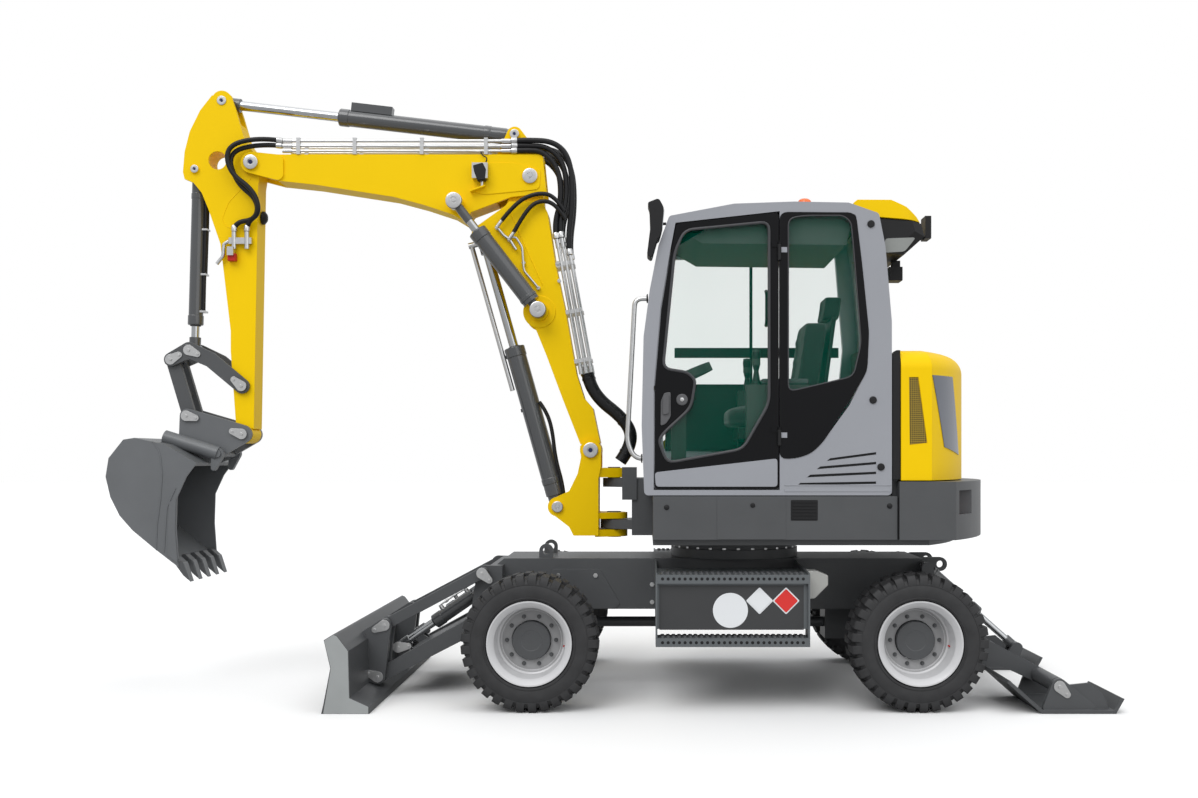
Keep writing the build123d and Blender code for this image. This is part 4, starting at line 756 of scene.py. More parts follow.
class EXCAVATOR_OT_fit_wheels(bpy.types.Operator):
    """Turn the rims and hubs, seat the nuts, and lay the tyres with their lugs"""
    bl_idname = "excavator.fit_wheels"
    bl_label = "Fit the Wheels"

    def execute(self, context):
        looks = context.scene.machine_looks
        for corner in ("front_left", "front_right", "rear_left", "rear_right"):
            side = -1 if corner.endswith("left") else 1
            low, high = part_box("tyre_" + corner)
            centre = Vector(((low[0] + high[0]) / 2, side * WHEEL_MIDDLE, (low[2] + high[2]) / 2))
            body = "wheel_" + corner
            self.rim(corner, centre, side, body)
            self.nuts(corner, centre, side, body, looks)
            self.tyre(corner, centre, side, body, looks)
        return {"FINISHED"}

    def rim(self, corner, centre, side, body):
        out = (0, side, 0)
        shell = Forge().lathe(RIM_SECTION, centre, out, 96, ring=True)
        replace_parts(shell.piece("rim_shell_" + corner, body, "rim_silver"), "rim_" + corner)
        # Thin darker rings over the disc and the groove: painted shade
        shade_rings = Forge()
        for section in RIM_SHADE_RINGS:
            shade_rings.lathe(section, centre, out, 64, ring=True)
        shade_rings.piece("rim_disc_" + corner, body, "rim_grey")
        hub = Forge().lathe(HUB_SECTION, centre, out, 64)
        hub.piece("hub_cap_" + corner, body, "chassis_grey", edge=0.0015)
        stem = Forge().lathe(VALVE_SECTION, centre + VALVE_PLACE, out, 12)
        stem.piece("valve_stem_" + corner, body, "red_cap")

    def nuts(self, corner, centre, side, body, looks):
        nut = Forge()
        for near, far, low, high, steps in (
                (1.35, 1.35, -0.001, 0.003, 20), (1, 1, 0.003, 0.018, 6), (0.55, 0.5, 0.018, 0.03, 10)):
            nut.lathe([(NUT_RADIUS * near, low), (NUT_RADIUS * far, high)], (0, 0, 0), (0, 0, 1), steps)
        seat = centre + Vector((0, side * NUT_SEAT, 0))
        mesh = repeat(nut.mesh("nut"), "ring_of_copies", "cylinder_paint", facing(seat, side),
                      Count=looks.nut_count, Radius=NUT_CIRCLE)
        add_piece("wheel_nuts_" + corner, mesh, body, "cylinder_paint")

    def tyre(self, corner, centre, side, body, looks):
        out = (0, side, 0)
        far_half = [(radius, -along) for radius, along in TYRE_SECTION[-2::-1]]
        carcass = Forge().lathe([*TYRE_SECTION, *far_half], centre, out, 96, ring=True)
        for radius, reach in TYRE_BEADS:
            carcass.lathe([(radius - 0.004, 0), (radius - 0.002, 0.0035), (radius + 0.002, 0.0035),
                           (radius + 0.004, 0)], centre + Vector((0, side * reach, 0)), out, 96, ring=True)
        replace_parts(carcass.piece("tyre_carcass_" + corner, body, "tyre_rubber"), "tyre_" + corner)
        meshes = []
        for row in SIDES:
            turn = Matrix.Rotation(math.pi / looks.lug_count if row < 0 else 0.0, 4, "Z")
            meshes.append(repeat(self.lug(row), "ring_of_copies", "tyre_rubber", facing(centre, side) @ turn,
                                 Count=looks.lug_count, Radius=LUG_CIRCLE))
        add_piece("tyre_lugs_" + corner, joined("lugs_" + corner, meshes), body, "tyre_rubber")

    def lug(self, row):
        """One tread block: high at the middle, stepped down over the shoulder."""
        rings = []
        for along, low, high, share in LUG_RINGS:
            half = LUG_HALF * share
            rings.append([(low, -half, row * along), (high, -half * 0.9, row * along),
                          (high, half * 0.9, row * along), (low, half, row * along)])
        return Forge().skin(rings).mesh("lug", 0.002)


# Pins that show a plated cap: joint or (x, z), body, radius, distance out, both sides
CAPS = (
    ("boom_lower", "swing", 0.048, 0.152),
    ("lift_cylinder_tilt", "swing", 0.036, 0.152),
    ("boom_adjust", "upper_boom", 0.048, 0.117),
    ("arm_out", "upper_boom", 0.046, 0.133),
    ("arm_cylinder_tilt", "upper_boom", 0.03, 0.096),
    (ARM_CYLINDER_HEAD, "arm", 0.03, 0.085),
    ("bucket_cylinder_tilt", "arm", 0.026, 0.095),
    (LIFT_HEAD, "lower_boom", 0.046, 0.105),
    ("adjust_cylinder_tilt", "lower_boom", 0.05, 0.242),
    (ADJUST_HEAD, "upper_boom", 0.05, 0.242),
)
# Caps whose bolt sits in a dark socket
DARK_SOCKETS = ("arm_out", "arm_cylinder_tilt", ARM_CYLINDER_HEAD, "bucket_cylinder_tilt", "boom_lower")
# Pins that the CAD leaves out inside an eye: (x, z), body, radius, inner and outer end
INNER_PINS = (
    (ARM_CYLINDER_HEAD, "arm", 0.0278, -0.085, 0.085),
    (BUCKET_CYLINDER_HEAD, "rocker", 0.0236, -0.11, 0.11),
    (LINK_TOP, "rocker", 0.0256, -0.11, 0.11),
    (ADJUST_HEAD, "upper_boom", 0.0246, -0.241, -0.16),
    (ADJUST_HEAD, "upper_boom", 0.0246, 0.16, 0.241),
)
# Plates that hold a pin with two bolts: joint or (x, z), body, towards (x, z), distance out
RETAINERS = (
    (LINK_TOP, "rocker", BUCKET_CYLINDER_HEAD, 0.11),
    (BUCKET_CYLINDER_HEAD, "rocker", ROCKER_CREST, 0.11),
    ("rocker_turn", "arm", ROCKER_CREST, 0.119),
    ("link_turn", "bucket", (-2.52, 1.7), 0.13),
    ("bucket_curl", "bucket", (-2.38, 1.64), 0.13),
    (BLADE_HEAD, "blade", (-1.4, 0.38), 0.51),
    ("blade_level", "blade", (-1.4, 0.16), 0.51),
    ("blade_link_turn", "chassis", (-0.62, 0.69), 0.477),
    ("blade_lift", "chassis", (-0.64, 0.47), 0.477),
    (BLADE_CYLINDER_EYE, "blade_arms", (-1.13, 0.29), 0.342),
    ("stabiliser_lift", "chassis", (2.06, 0.56), 0.616),
    ("stabiliser_foot_turn", "stabiliser_feet", (2.74, 0.08), 0.975),
)
RETAINER_LENGTH = 0.062
RETAINER_THICKNESS = 0.007
# At the pin and at the far end: the plate's radius, its bolt's radius
RETAINER_ENDS = ((0.034, 0.011), (0.02, 0.009))


def spot(place):
    """An (x, z) place, or that of the hinge it names."""
    return tuple(JOINTS[place]["pos_m"][::2]) if isinstance(place, str) else place


class EXCAVATOR_OT_fit_pins(bpy.types.Operator):
    """Put the plated caps and the bolted retainers on the pins"""
    bl_idname = "excavator.fit_pins"
    bl_label = "Fit the Pins"

    def execute(self, context):
        plated = {}
        sockets = {}
        for place, body, radius, depth in CAPS:
            forge = plated.setdefault(body, Forge())
            at = [spot(place)]
            face = depth + SKIN_GAP
            forge.studs([(radius, 0), (radius, 0.005), (radius * 0.9, 0.0075), (radius * 0.42, 0.0078),
                         (radius * 0.4, 0.0045)], at, face, 36)
            if place in DARK_SOCKETS:
                sockets.setdefault(body, Forge()).studs(
                    [(radius * 0.3, 0.004), (radius * 0.3, 0.0088)], at, face, 16)
            else:
                forge.studs([(radius * 0.24, 0.004), (radius * 0.24, 0.0125)], at, face, 6)
        for (x, z), body, radius, near, far in INNER_PINS:
            plated.setdefault(body, Forge()).lathe([(radius, near), (radius, far)], (x, 0, z), steps=28)
        for place, body, towards, depth in RETAINERS:
            forge = plated.setdefault(body, Forge())
            self.retainer(forge, Vector((*spot(place), 0)), Vector((*towards, 0)), depth)
        for body, forge in plated.items():
            forge.piece("pin_plates_" + body, body, "zinc", edge=0.0008)
        for body, forge in sockets.items():
            forge.piece("pin_sockets_" + body, body, "socket_blue")
        return {"FINISHED"}

    def retainer(self, forge, start, towards, depth):
        """A pear-shaped plate with a bolt at each end."""
        way = (towards - start).normalized()
        across = Vector((-way.y, way.x, 0))
        outline = []
        centres = (start, start + way * RETAINER_LENGTH)
        for centre, (radius, _), turn in zip(centres, RETAINER_ENDS, (math.pi / 2, -math.pi / 2)):
            for step in range(9):
                angle = turn + math.pi * step / 8
                edge = centre + way * radius * math.cos(angle) + across * radius * math.sin(angle)
                outline.append((edge.x, edge.y))
        forge.plate(outline, depth, RETAINER_THICKNESS)
        face = depth + RETAINER_THICKNESS + 0.0005
        for centre, (_, bolt) in zip(centres, RETAINER_ENDS):
            forge.studs([(bolt, 0), (bolt, 0.008)], [(centre.x, centre.y)], face, 6)


# Cylinders: name, plural ending of its bodies, y of each, radius, rod radius, barrel length, and the rod eye's
# place, radius and half width
CYLINDERS = (
    ("lift_cylinder", "", (0,), 0.063, 0.03, 1.065, LIFT_HEAD, 0.062, 0.058),
    ("adjust_cylinder", "s", (-0.2, 0.2), 0.057, 0.025, 0.628, ADJUST_HEAD, 0.052, 0.03),
    ("arm_cylinder", "", (0,), 0.052, 0.03, 1.145, ARM_CYLINDER_HEAD, 0.052, 0.052),
    ("bucket_cylinder", "", (0,), 0.045, 0.025, 0.99, BUCKET_CYLINDER_HEAD, 0.046, 0.042),
    ("blade_cylinder", "s", (-0.29, 0.29), 0.042, 0.022, 0.34, BLADE_CYLINDER_EYE, 0.032, 0.025),
    ("stabiliser_cylinder", "s", (-0.39, 0.39), 0.04, 0.02, 0.425, STABILISER_CYLINDER_EYE, 0.032, 0.028),
)
# Cylinders with a steel pipe along the barrel
PIPED = ("blade_cylinder", "stabiliser_cylinder")
# How far a rod's neck stands out of its eye, and its girth beside the rod's
NECK = (0.045, 1.45)
LONG_NECK = (0.105, 1.15)


class EXCAVATOR_OT_trim_cylinders(bpy.types.Operator):
    """Add gland rings, wipers, weld rings, ports and pipes to the cylinders"""
    bl_idname = "excavator.trim_cylinders"
    bl_label = "Trim the Cylinders"

    def execute(self, context):
        for name, plural, offsets, radius, rod_radius, length, head, eye, half in CYLINDERS:
            barrel = name + "_barrel" + plural
            foot = Vector(JOINTS[name + "_tilt"]["pos_m"])
            way = Vector(JOINTS[name + "_stroke"]["axis"]).normalized()
            back = Vector((-way.z, 0, way.x))
            if back.x * way.z < 0:
                back = -back
            painted, seals, pipes, heads = Forge(), Forge(), Forge(), Forge()
            for y in offsets:
                base = Vector((foot.x, y, foot.z))
                self.rings(painted, seals, base, way, radius, rod_radius, length)
                if name in PIPED:
                    self.pipe(pipes, base, way, back, radius, length)
                centre = Vector((head[0], y, head[1]))
                for side in SIDES:
                    heads.lathe([(eye, 0), (eye * 0.94, 0.0015), (eye * 0.66, 0.002), (eye * 0.64, 0.0)],
                                centre + Vector((0, side * (half + 0.0001), 0)), (0, side, 0))
                reach, girth = LONG_NECK if name == "adjust_cylinder" else NECK
                heads.rod(centre - way * (eye + reach), centre - way * (eye * 0.8), rod_radius * girth, 28)
            painted.piece(name + "_gland_rings", barrel, "cylinder_paint", edge=0.0012)
            seals.piece(name + "_wipers", barrel, "seal_rubber", edge=0.0006)
            if name in PIPED:
                pipes.piece(name + "_pipes", barrel, "zinc", edge=0.0006)
            heads.piece(name + "_rod_heads", name + "_rod" + plural, "cylinder_paint", edge=0.001)
        return {"FINISHED"}

    def rings(self, painted, seals, base, way, radius, rod_radius, length):
        """The gland and the weld ring on a barrel, and the wiper at its mouth."""
        painted.lathe([(radius + 0.0004, length - 0.062), (radius + 0.004, length - 0.058),
                       (radius + 0.004, length - 0.004), (radius + 0.001, length + 0.002),
                       (rod_radius + 0.01, length + 0.002)], base, way, 40)
        painted.lathe([(radius + 0.0004, length * 0.14), (radius + 0.003, length * 0.145),
                       (radius + 0.003, length * 0.175), (radius + 0.0004, length * 0.18)], base, way, 40)
        seals.lathe([(rod_radius + 0.009, length + 0.0022), (rod_radius + 0.009, length + 0.008),
                     (rod_radius + 0.0006, length + 0.011)], base, way)

    def pipe(self, pipes, base, way, back, radius, length):
        """A steel pipe between two ports on the barrel's back, held by two clips."""
        near = base + way * (length - 0.085)
        far = base + way * (length * 0.2)
        lift = back * (radius + 0.004)
        stand = back * (radius + 0.026)
        for port in (near, far):
            seat = port + back * (radius - 0.002)
            pipes.lathe([(0.014, 0), (0.014, 0.018), (0.011, 0.021)], seat, back, 20)
            pipes.lathe([(0.013, 0.021), (0.013, 0.031)], seat, back, 6)
        pipes.tube(bent([near + lift + back * 0.014, near + stand, far + stand + way * 0.06,
                         far + lift + back * 0.016], 0.012), 0.006, 10)
        for share in (0.35, 0.7):
            pipes.lathe([(0.01, -0.002), (0.01, 0.02)], far.lerp(near, share) + stand, way, 14)


# Hoses: the routes that the CAD's tubes take, in metres
LINE_Y = 0.099
BACK_START = (-0.287, 2.85)
BACK_END = (-0.128, 1.985)
# Hoses over the knuckle: level of the pipe on the upper boom, start and stand-off of the one on the lower boom,
# how far back the hose reaches, and how far it bulges to the side
KNUCKLE_LINES = (
    (3.42, 0, 0.031, -0.24, 0.008), (3.452, 0, 0.064, -0.203, -0.006), (3.484, 0.118, 0.097, -0.166, 0.008))
HOSE_RADIUS = 0.0175
ARM_HOSE_RADIUS = 0.0155
SLEEVE_RADIUS = 0.04
SLEEVE_Y = 0.058
SLEEVE_ASIDE = 0.068
# A crimped end, as (share of the hose's radius, distance along)
CRIMP_SECTION = ((0.9, 0), (1.22, 0.004), (1.22, 0.034), (1.05, 0.04))
# Where the sleeves bend into the house, as (x, z), and where their bands sit along them
SLEEVE_BEND = ((0.196, 1.69), (0.232, 1.545), (0.15, 1.432))
SLEEVE_BANDS = (0.04, 0.5, 0.94)
BAND_SECTION = ((0, 0), (0.003, 0.001), (0.003, 0.014), (0, 0.015))
ARM_HOSES = (
    [(-2.0103, -0.099, 3.452), (-2.15, -0.116, 3.462), (-2.355, -0.128, 3.405), (-2.3, -0.128, 3.21),
     (-2.16, -0.128, 3.1), (-2.17, -0.128, 2.975), (-2.318, -0.1113, 2.96), (-2.318, -0.1113, 2.9003)],
    [(-2.0103, -0.099, 3.484), (-2.14, -0.15, 3.494), (-2.352, -0.162, 3.44), (-2.335, -0.162, 3.27),
     (-2.175, -0.162, 3.155), (-2.135, -0.162, 3.01), (-2.236, -0.1113, 2.96), (-2.236, -0.1113, 2.9003)],
)
# Small hoses from the pipes behind the knuckle to the adjusting cylinders' valve
SMALL_HOSES = (
    [(-0.205, -0.126, 3.03), (-0.262, -0.138, 3.122), (-0.37, -0.146, 3.145), (-0.51, -0.146, 3.085),
     (-0.603, -0.141, 2.966)],
    [(-0.195, -0.126, 2.975), (-0.258, -0.138, 3.078), (-0.37, -0.146, 3.095), (-0.455, -0.146, 3.02),
     (-0.527, -0.141, 2.89)],
)
SMALL_HOSE_RADIUS = 0.0135


def along(start, end, distance, aside=0.0):
    """The (x, z) point at a distance along a line, and a little to its left."""
    length = math.hypot(end[0] - start[0], end[1] - start[1])
    unit_x = (end[0] - start[0]) / length
    unit_z = (end[1] - start[1]) / length
    return start[0] + unit_x * distance - unit_z * aside, start[1] + unit_z * distance + unit_x * aside


def hose_with_ends(routes, radius):
    """Rubber hoses along smooth curves, and their crimped end sleeves as a second forge."""
    rubber = Forge()
    ends = Forge()
    for route in routes:
        path = hose_path(route)
        rubber.tube(path, radius, 14)
        for first, second in ((path[0], path[1]), (path[-1], path[-2])):
            way = (second - first).normalized()
            ends.lathe([(radius * share, reach) for share, reach in CRIMP_SECTION], first + way * 0.0005, way,
                       16)
    return rubber, ends


class EXCAVATOR_OT_run_hoses(bpy.types.Operator):
    """Run the hoses over the knuckle, to the arm and to the house"""
    bl_idname = "excavator.run_hoses"
    bl_label = "Run the Hoses"

    def execute(self, context):
        self.blend_hoses(self.knuckle_routes(), HOSE_RADIUS, "knuckle_hoses", "boom_hoses",
                         ("upper_boom", "lower_boom"), (-0.45, 0, 3.45), (-0.24, 0, 2.9))
        self.blend_hoses(ARM_HOSES, ARM_HOSE_RADIUS, "elbow_hoses", "arm_hoses",
                         ("upper_boom", "arm"), (-2.05, 0, 3.46), (-2.28, 0, 2.95))
        self.house()
        return {"FINISHED"}

    def blend_hoses(self, routes, radius, name, node, bodies, start, end):
        """Hoses that run between two bodies, in the place of a CAD node; they stay still and ride on no body.
        """
        for forge, material, part in zip(hose_with_ends(routes, radius), ("hose_rubber", "zinc"),
                                         ("rubber", "crimps")):
            piece = forge.piece(name + "_" + part, None, material)
            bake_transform(piece)
            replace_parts(piece, node)

    def knuckle_routes(self):
        routes = []
        for side in SIDES:
            for level, start, aside, reach, bulge in KNUCKLE_LINES:
                end_x, end_z = along(BACK_START, BACK_END, start, aside)
                near_x, near_z = along(BACK_START, BACK_END, start - 0.09, aside)
                y = side * LINE_Y
                out = side * (LINE_Y + bulge)
                routes.append([
                    (-0.5477, y, level), (-0.44, out, level + 0.004), (reach - 0.1, out, level - 0.006),
                    (reach - 0.002, out, level - 0.115), (reach + 0.016, out, 3.11), (near_x, y, near_z),
                    (end_x, y, end_z)])
        return routes

    def house(self):
        """The two sleeved bundles from the boom's foot into the house, with their bands."""
        aside = SLEEVE_ASIDE
        back = math.hypot(BACK_END[0] - BACK_START[0], BACK_END[1] - BACK_START[1])
        start = along(BACK_START, BACK_END, back + 0.0003, aside)
        run = along(BACK_START, BACK_END, back + 0.13, aside)
        sleeves = Forge()
        for side in SIDES:
            y = side * SLEEVE_Y
            path = hose_path([(x, y, z) for x, z in (start, run, *SLEEVE_BEND)])
            sleeves.tube(path, SLEEVE_RADIUS, 20)
            for share in SLEEVE_BANDS:
                index = int(share * (len(path) - 2))
                way = (path[index + 1] - path[index]).normalized()
                sleeves.lathe([(SLEEVE_RADIUS + high, reach) for high, reach in BAND_SECTION],
                              path[index], way, 20)
        piece = sleeves.piece("house_sleeves", None, "hose_rubber")
        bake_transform(piece)
        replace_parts(piece, "house_hoses")


# Working arm, as (x, z) points unless three are given
KNUCKLE_DOUBLER = ((-0.1, 0.085), (-0.3, 0.085), (-0.38, -0.09), (-0.3, -0.12), (0.06, -0.085), (0.07, 0.04))
BOOM_WELD = ((-0.553, 3.03), (-0.5, 2.905), (-0.345, 2.56))
ARM_WELD = ((-2.215, 3.25), (-2.36, 3.095), (-2.405, 2.985), (-2.372, 2.932), (-2.2, 2.925))
VALVE_PORTS = ((-0.634, 2.925), (-0.556, 2.85))
# Line, how far before a corner it bends, radius
VALVE_PIPES = (
    (((-0.634, 2.925), (-0.59, 2.872), (-0.556, 2.85), (-0.512, 2.782)), 0.015, 0.01),
    (((-0.556, 2.856), (-0.516, 2.866), (-0.474, 2.8), (-0.464, 2.65), (-0.411, 2.587), (-0.372, 2.54)),
     0.02, 0.0078),
)
PIPE_NUTS = ((-0.372, 2.54), (-0.466, 2.7))
HOSE_NUTS = ((-0.2475, 2.7), (-0.238, 2.585))
LAMP_CASE = (
    (-0.786, 3.314), (-0.72, 3.332), (-0.697, 3.287), (-0.704, 3.22), (-0.757, 3.216), (-0.777, 3.269))
LAMP_SHELF = ((-0.804, 3.15), (-0.711, 3.184), (-0.711, 3.194), (-0.804, 3.16))
LAMP_LENS = ((-0.7885, 3.308), (-0.78, 3.272), (-0.7775, 3.272), (-0.786, 3.308))
BUCKET_CYLINDER_HOSES = (
    ([(-2.533, -0.012, 3.19), (-2.528, -0.012, 3.06), (-2.538, -0.012, 2.8), (-2.545, -0.012, 2.54),
      (-2.548, -0.012, 2.395)], 0.0125),
    ([(-2.533, 0.016, 3.19), (-2.528, 0.016, 3.06), (-2.538, 0.016, 2.8), (-2.543, 0.016, 2.64)], 0.0105),
)
LIFT_CYLINDER_HOSE = (
    (-0.372, -0.04, 1.815), (-0.33, -0.046, 1.76), (-0.29, -0.046, 1.65), (-0.268, -0.046, 1.45),
    (-0.222, -0.046, 1.29), (-0.215, -0.046, 1.225))
ARM_CYLINDER_HOSE = (
    (-1.3, 3.622), (-1.235, 3.64), (-1.1, 3.606), (-0.9, 3.58), (-0.7, 3.556), (-0.6, 3.5),
    (-0.56, 3.44))
BUCKET_HALF = 0.35
BUCKET_WEAR = ((-2.588, 0.8), (-2.604, 1.016), (-2.598, 1.205), (-2.64, 1.18), (-2.65, 1.01), (-2.65, 0.85))
BUCKET_WELDS = (
    ((-2.744, 1.557), (-2.699, 1.49), (-2.683, 1.357), (-2.694, 1.202), (-2.716, 1.036), (-2.721, 0.881)),
    ((-2.6, 1.269), (-2.655, 1.147), (-2.672, 0.87)),
)
TOOTH_CAP = (
    (-2.626, 0.842), (-2.6, 0.845), (-2.56, 0.808), (-2.53, 0.728), (-2.5165, 0.6905), (-2.556, 0.724),
    (-2.604, 0.79))


def flexible(name, body, radius, routes):
    """Plain hoses along smooth curves, as one piece."""
    rubber = Forge()
    for route in routes:
        rubber.tube(hose_path(route), radius)
    rubber.piece(name, body, "hose_rubber")


class EXCAVATOR_OT_dress_boom(bpy.types.Operator):
    """Add doubler plates, valve fittings, the work lamp, stops and cylinder hoses to the working arm"""
    bl_idname = "excavator.dress_boom"
    bl_label = "Dress the Boom"

    def execute(self, context):
        self.doublers()
        self.fittings()
        self.lamp()
        self.guard()
        self.cylinder_hoses()
        self.bucket()
        return {"FINISHED"}

    def doublers(self):
        """Plates welded on the booms' sides, and the weld beads."""
        foot = Forge().studs([(0.104, 0), (0.104, 0.004), (0.101, 0.006)], [spot("adjust_cylinder_tilt")],
                             BOOM_SIDE, 48)
        foot.piece("boom_foot_doublers", "lower_boom", "yellow_paint", edge=0.0015)
        x, z = spot("boom_adjust")
        outline = round_outline([(x + right, z + up) for right, up in KNUCKLE_DOUBLER], 0.03)
        Forge().plate(outline, BOOM_SIDE, 0.005).piece(
            "knuckle_doublers", "upper_boom", "yellow_paint", edge=0.0015)
        for name, body, depth, radius, line in (
                ("boom_welds", "lower_boom", BOOM_SIDE, 0.0035, BOOM_WELD),
                ("arm_welds", "arm", ARM_SIDE, 0.0025, ARM_WELD)):
            weld = Forge()
            for side in SIDES:
                weld.tube(bent([(x, side * depth, z) for x, z in line], 0.02), radius, 8)
            weld.piece(name, body, "yellow_paint")

    def fittings(self):
        """The valve on the lower boom with its elbows, and the thin pipe to the cylinder's foot."""
        steel = Forge()
        y = -BOOM_SIDE
        for x, z in VALVE_PORTS:
            steel.studs([(0.016, 0), (0.016, 0.014)], [(x, z)], BOOM_SIDE + 0.0005, 6, LEFT)
            steel.rod((x, y - 0.014, z), (x, y - 0.04, z), 0.011)
            steel.rod((x, y - 0.034, z), (x + 0.034, y - 0.036, z + 0.046), 0.013)
        for line, reach, radius in VALVE_PIPES:
            steel.tube(bent([(x, y - 0.022, z) for x, z in line], reach), radius)
        steel.studs([(0.013, 0), (0.013, 0.022)], PIPE_NUTS, BOOM_SIDE + 0.0005, 6, LEFT)
        steel.studs([(0.013, 0), (0.013, 0.02)], HOSE_NUTS, BOOM_SIDE + 0.0005, 6, LEFT)
        steel.piece("boom_valve_fittings", "lower_boom", "zinc", edge=0.0006)
        flexible("boom_small_hoses", "lower_boom", SMALL_HOSE_RADIUS, SMALL_HOSES)

    def lamp(self):
        """The work lamp under the upper boom, and the arm's stop and valve cover."""
        Forge().prism(LAMP_CASE, -0.169, -0.1056).piece(
            "boom_lamp_case", "upper_boom", "black_plastic", edge=0.007)
        Forge().prism(LAMP_SHELF, -0.15, -0.1052).piece(
            "boom_lamp_shelf", "upper_boom", "yellow_paint", edge=0.001)
        Forge().rod((-0.73, -0.132, 3.184), (-0.73, -0.132, 3.222), 0.009).piece(
            "boom_lamp_bracket", "upper_boom", "zinc", edge=0.001)
        Forge().prism(LAMP_LENS, -0.163, -0.111).piece(
            "boom_lamp_lens", "upper_boom", "clear_lens", edge=0.0008)
        lead = [(-0.705, -0.135, 3.34), (-0.69, -0.14, 3.365), (-0.73, -0.12, 3.385), (-0.74, -0.108, 3.41)]
        Forge().tube(hose_path(lead), 0.004, 8).piece("boom_lamp_lead", "upper_boom", "hose_rubber")
        buffer = [(0.03, 0), (0.03, 0.016), (0.044, 0.018), (0.042, 0.032), (0.024, 0.046), (0.008, 0.05)]
        Forge().lathe(buffer, (-2.186, 0, 3.01), (1, 0, -0.06), 24).piece(
            "arm_stop_buffer", "arm", "hose_rubber", edge=0.001)
        Forge().box((-2.356, -0.128, 2.712), (-2.304, -0.0856, 2.762)).piece(
            "arm_valve_cover", "arm", "red_cap", edge=0.005)

    def guard(self):
        """The bar that shields the lift cylinder's rod."""
        foot = Vector(JOINTS["lift_cylinder_tilt"]["pos_m"])
        way = Vector(JOINTS["lift_cylinder_stroke"]["axis"]).normalized()
        front = Vector((-way.z, 0, way.x))
        if front.x > 0:
            front = -front
        high = foot + way * 1.79 + front * 0.086
        low = foot + way * 0.8 + front * 0.086
        bar = Forge().rod(low, high, 0.0155)
        bar.rod(foot + way * 1.777 + front * 0.01, high + way * -0.012 + front * 0.02, 0.02)
        bar.piece("lift_rod_guard", "lift_cylinder_rod", "zinc", edge=0.001)
        clip = Forge()
        for reach in (0.66, 1.02):
            at = foot + way * reach
            clip.rod(at + front * 0.062, at + front * 0.0695, 0.012)
        clip.piece("lift_barrel_buffers", "lift_cylinder_barrel", "seal_rubber")

    def cylinder_hoses(self):
        rubber = Forge()
        for route, radius in BUCKET_CYLINDER_HOSES:
            rubber.tube(hose_path(route), radius)
        rubber.piece("bucket_cylinder_hoses", "bucket_cylinder_barrel", "hose_rubber")
        steel = Forge()
        for x, z in ((-2.534, 2.93), (-2.543, 2.64), (-2.5485, 2.4)):
            steel.box((x - 0.03, -0.03, z - 0.006), (x + 0.016, 0.032, z + 0.006))
        steel.piece("bucket_hose_clamps", "bucket_cylinder_barrel", "zinc", edge=0.001)
        flexible("lift_cylinder_hose", "lift_cylinder_barrel", 0.0125, [LIFT_CYLINDER_HOSE])
        flexible("arm_cylinder_hoses", "arm_cylinder_barrel", 0.011,
                 [[(x, y, z) for x, z in ARM_CYLINDER_HOSE] for y in (-0.02, 0.02)])

    def bucket(self):
        """Wear plates, tooth caps, and the weld beads on the bucket's sides."""
        wear = Forge()
        for side in SIDES:
            wear.prism(BUCKET_WEAR, side * (BUCKET_HALF - 0.0005), side * (BUCKET_HALF + 0.004))
            for line in BUCKET_WELDS:
                wear.tube(bent([(x, side * (BUCKET_HALF + 0.0005), z) for x, z in line], 0.03), 0.004, 8)
        wear.piece("bucket_wear_plates", "bucket", "bucket_grey", edge=0.001)
        teeth = Forge()
        for index in range(5):
            y = (BUCKET_HALF - 0.04) * (index / 2 - 1)
            teeth.prism(TOOTH_CAP, y - 0.036, y + 0.036)
            teeth.lathe([(0.008, 0), (0.008, 0.076)], (-2.58, y - 0.038, 0.812), steps=12)
        teeth.piece("bucket_tooth_caps", "bucket", "chassis_grey", edge=0.003)


# Cab and its windows, as (x, z) outlines
DOOR_WINDOW = [
    (0.537, 2.759), (1.02, 2.806), (1.02, 1.769), (0.871, 1.506), (0.436, 1.426), (0.388, 1.557),
    (0.425, 1.606), (0.573, 1.742), (0.599, 1.903), (0.549, 1.946), (0.413, 1.966), (0.48, 2.635)]
REAR_BLACK = [
    (1.0795, 2.862), (1.517, 2.859), (1.554, 2.549), (1.592, 2.175), (1.582, 1.95), (1.494, 1.806),
    (1.408, 1.672), (1.335, 1.552), (1.264, 1.482), (1.185, 1.454), (1.0795, 1.447)]
REAR_CLEAR = [
    (1.13, 2.826), (1.225, 2.841), (1.444, 2.841), (1.488, 2.804), (1.502, 2.665), (1.546, 2.112),
    (1.502, 1.921), (1.13, 1.834)]
DOOR_SILL = [(0.372, 1.29), (1.068, 1.29), (1.068, 1.452), (0.366, 1.372)]
DOOR_HANDLE = [(0.399, 1.637), (0.43, 1.65), (0.457, 1.69), (0.457, 1.832), (0.42, 1.826), (0.401, 1.78)]
ROOF_UNIT_PANEL = [(1.7, 2.726), (1.88, 2.732), (1.815, 2.65), (1.697, 2.643)]
KEY_PLACE = (0.522, 1.788)
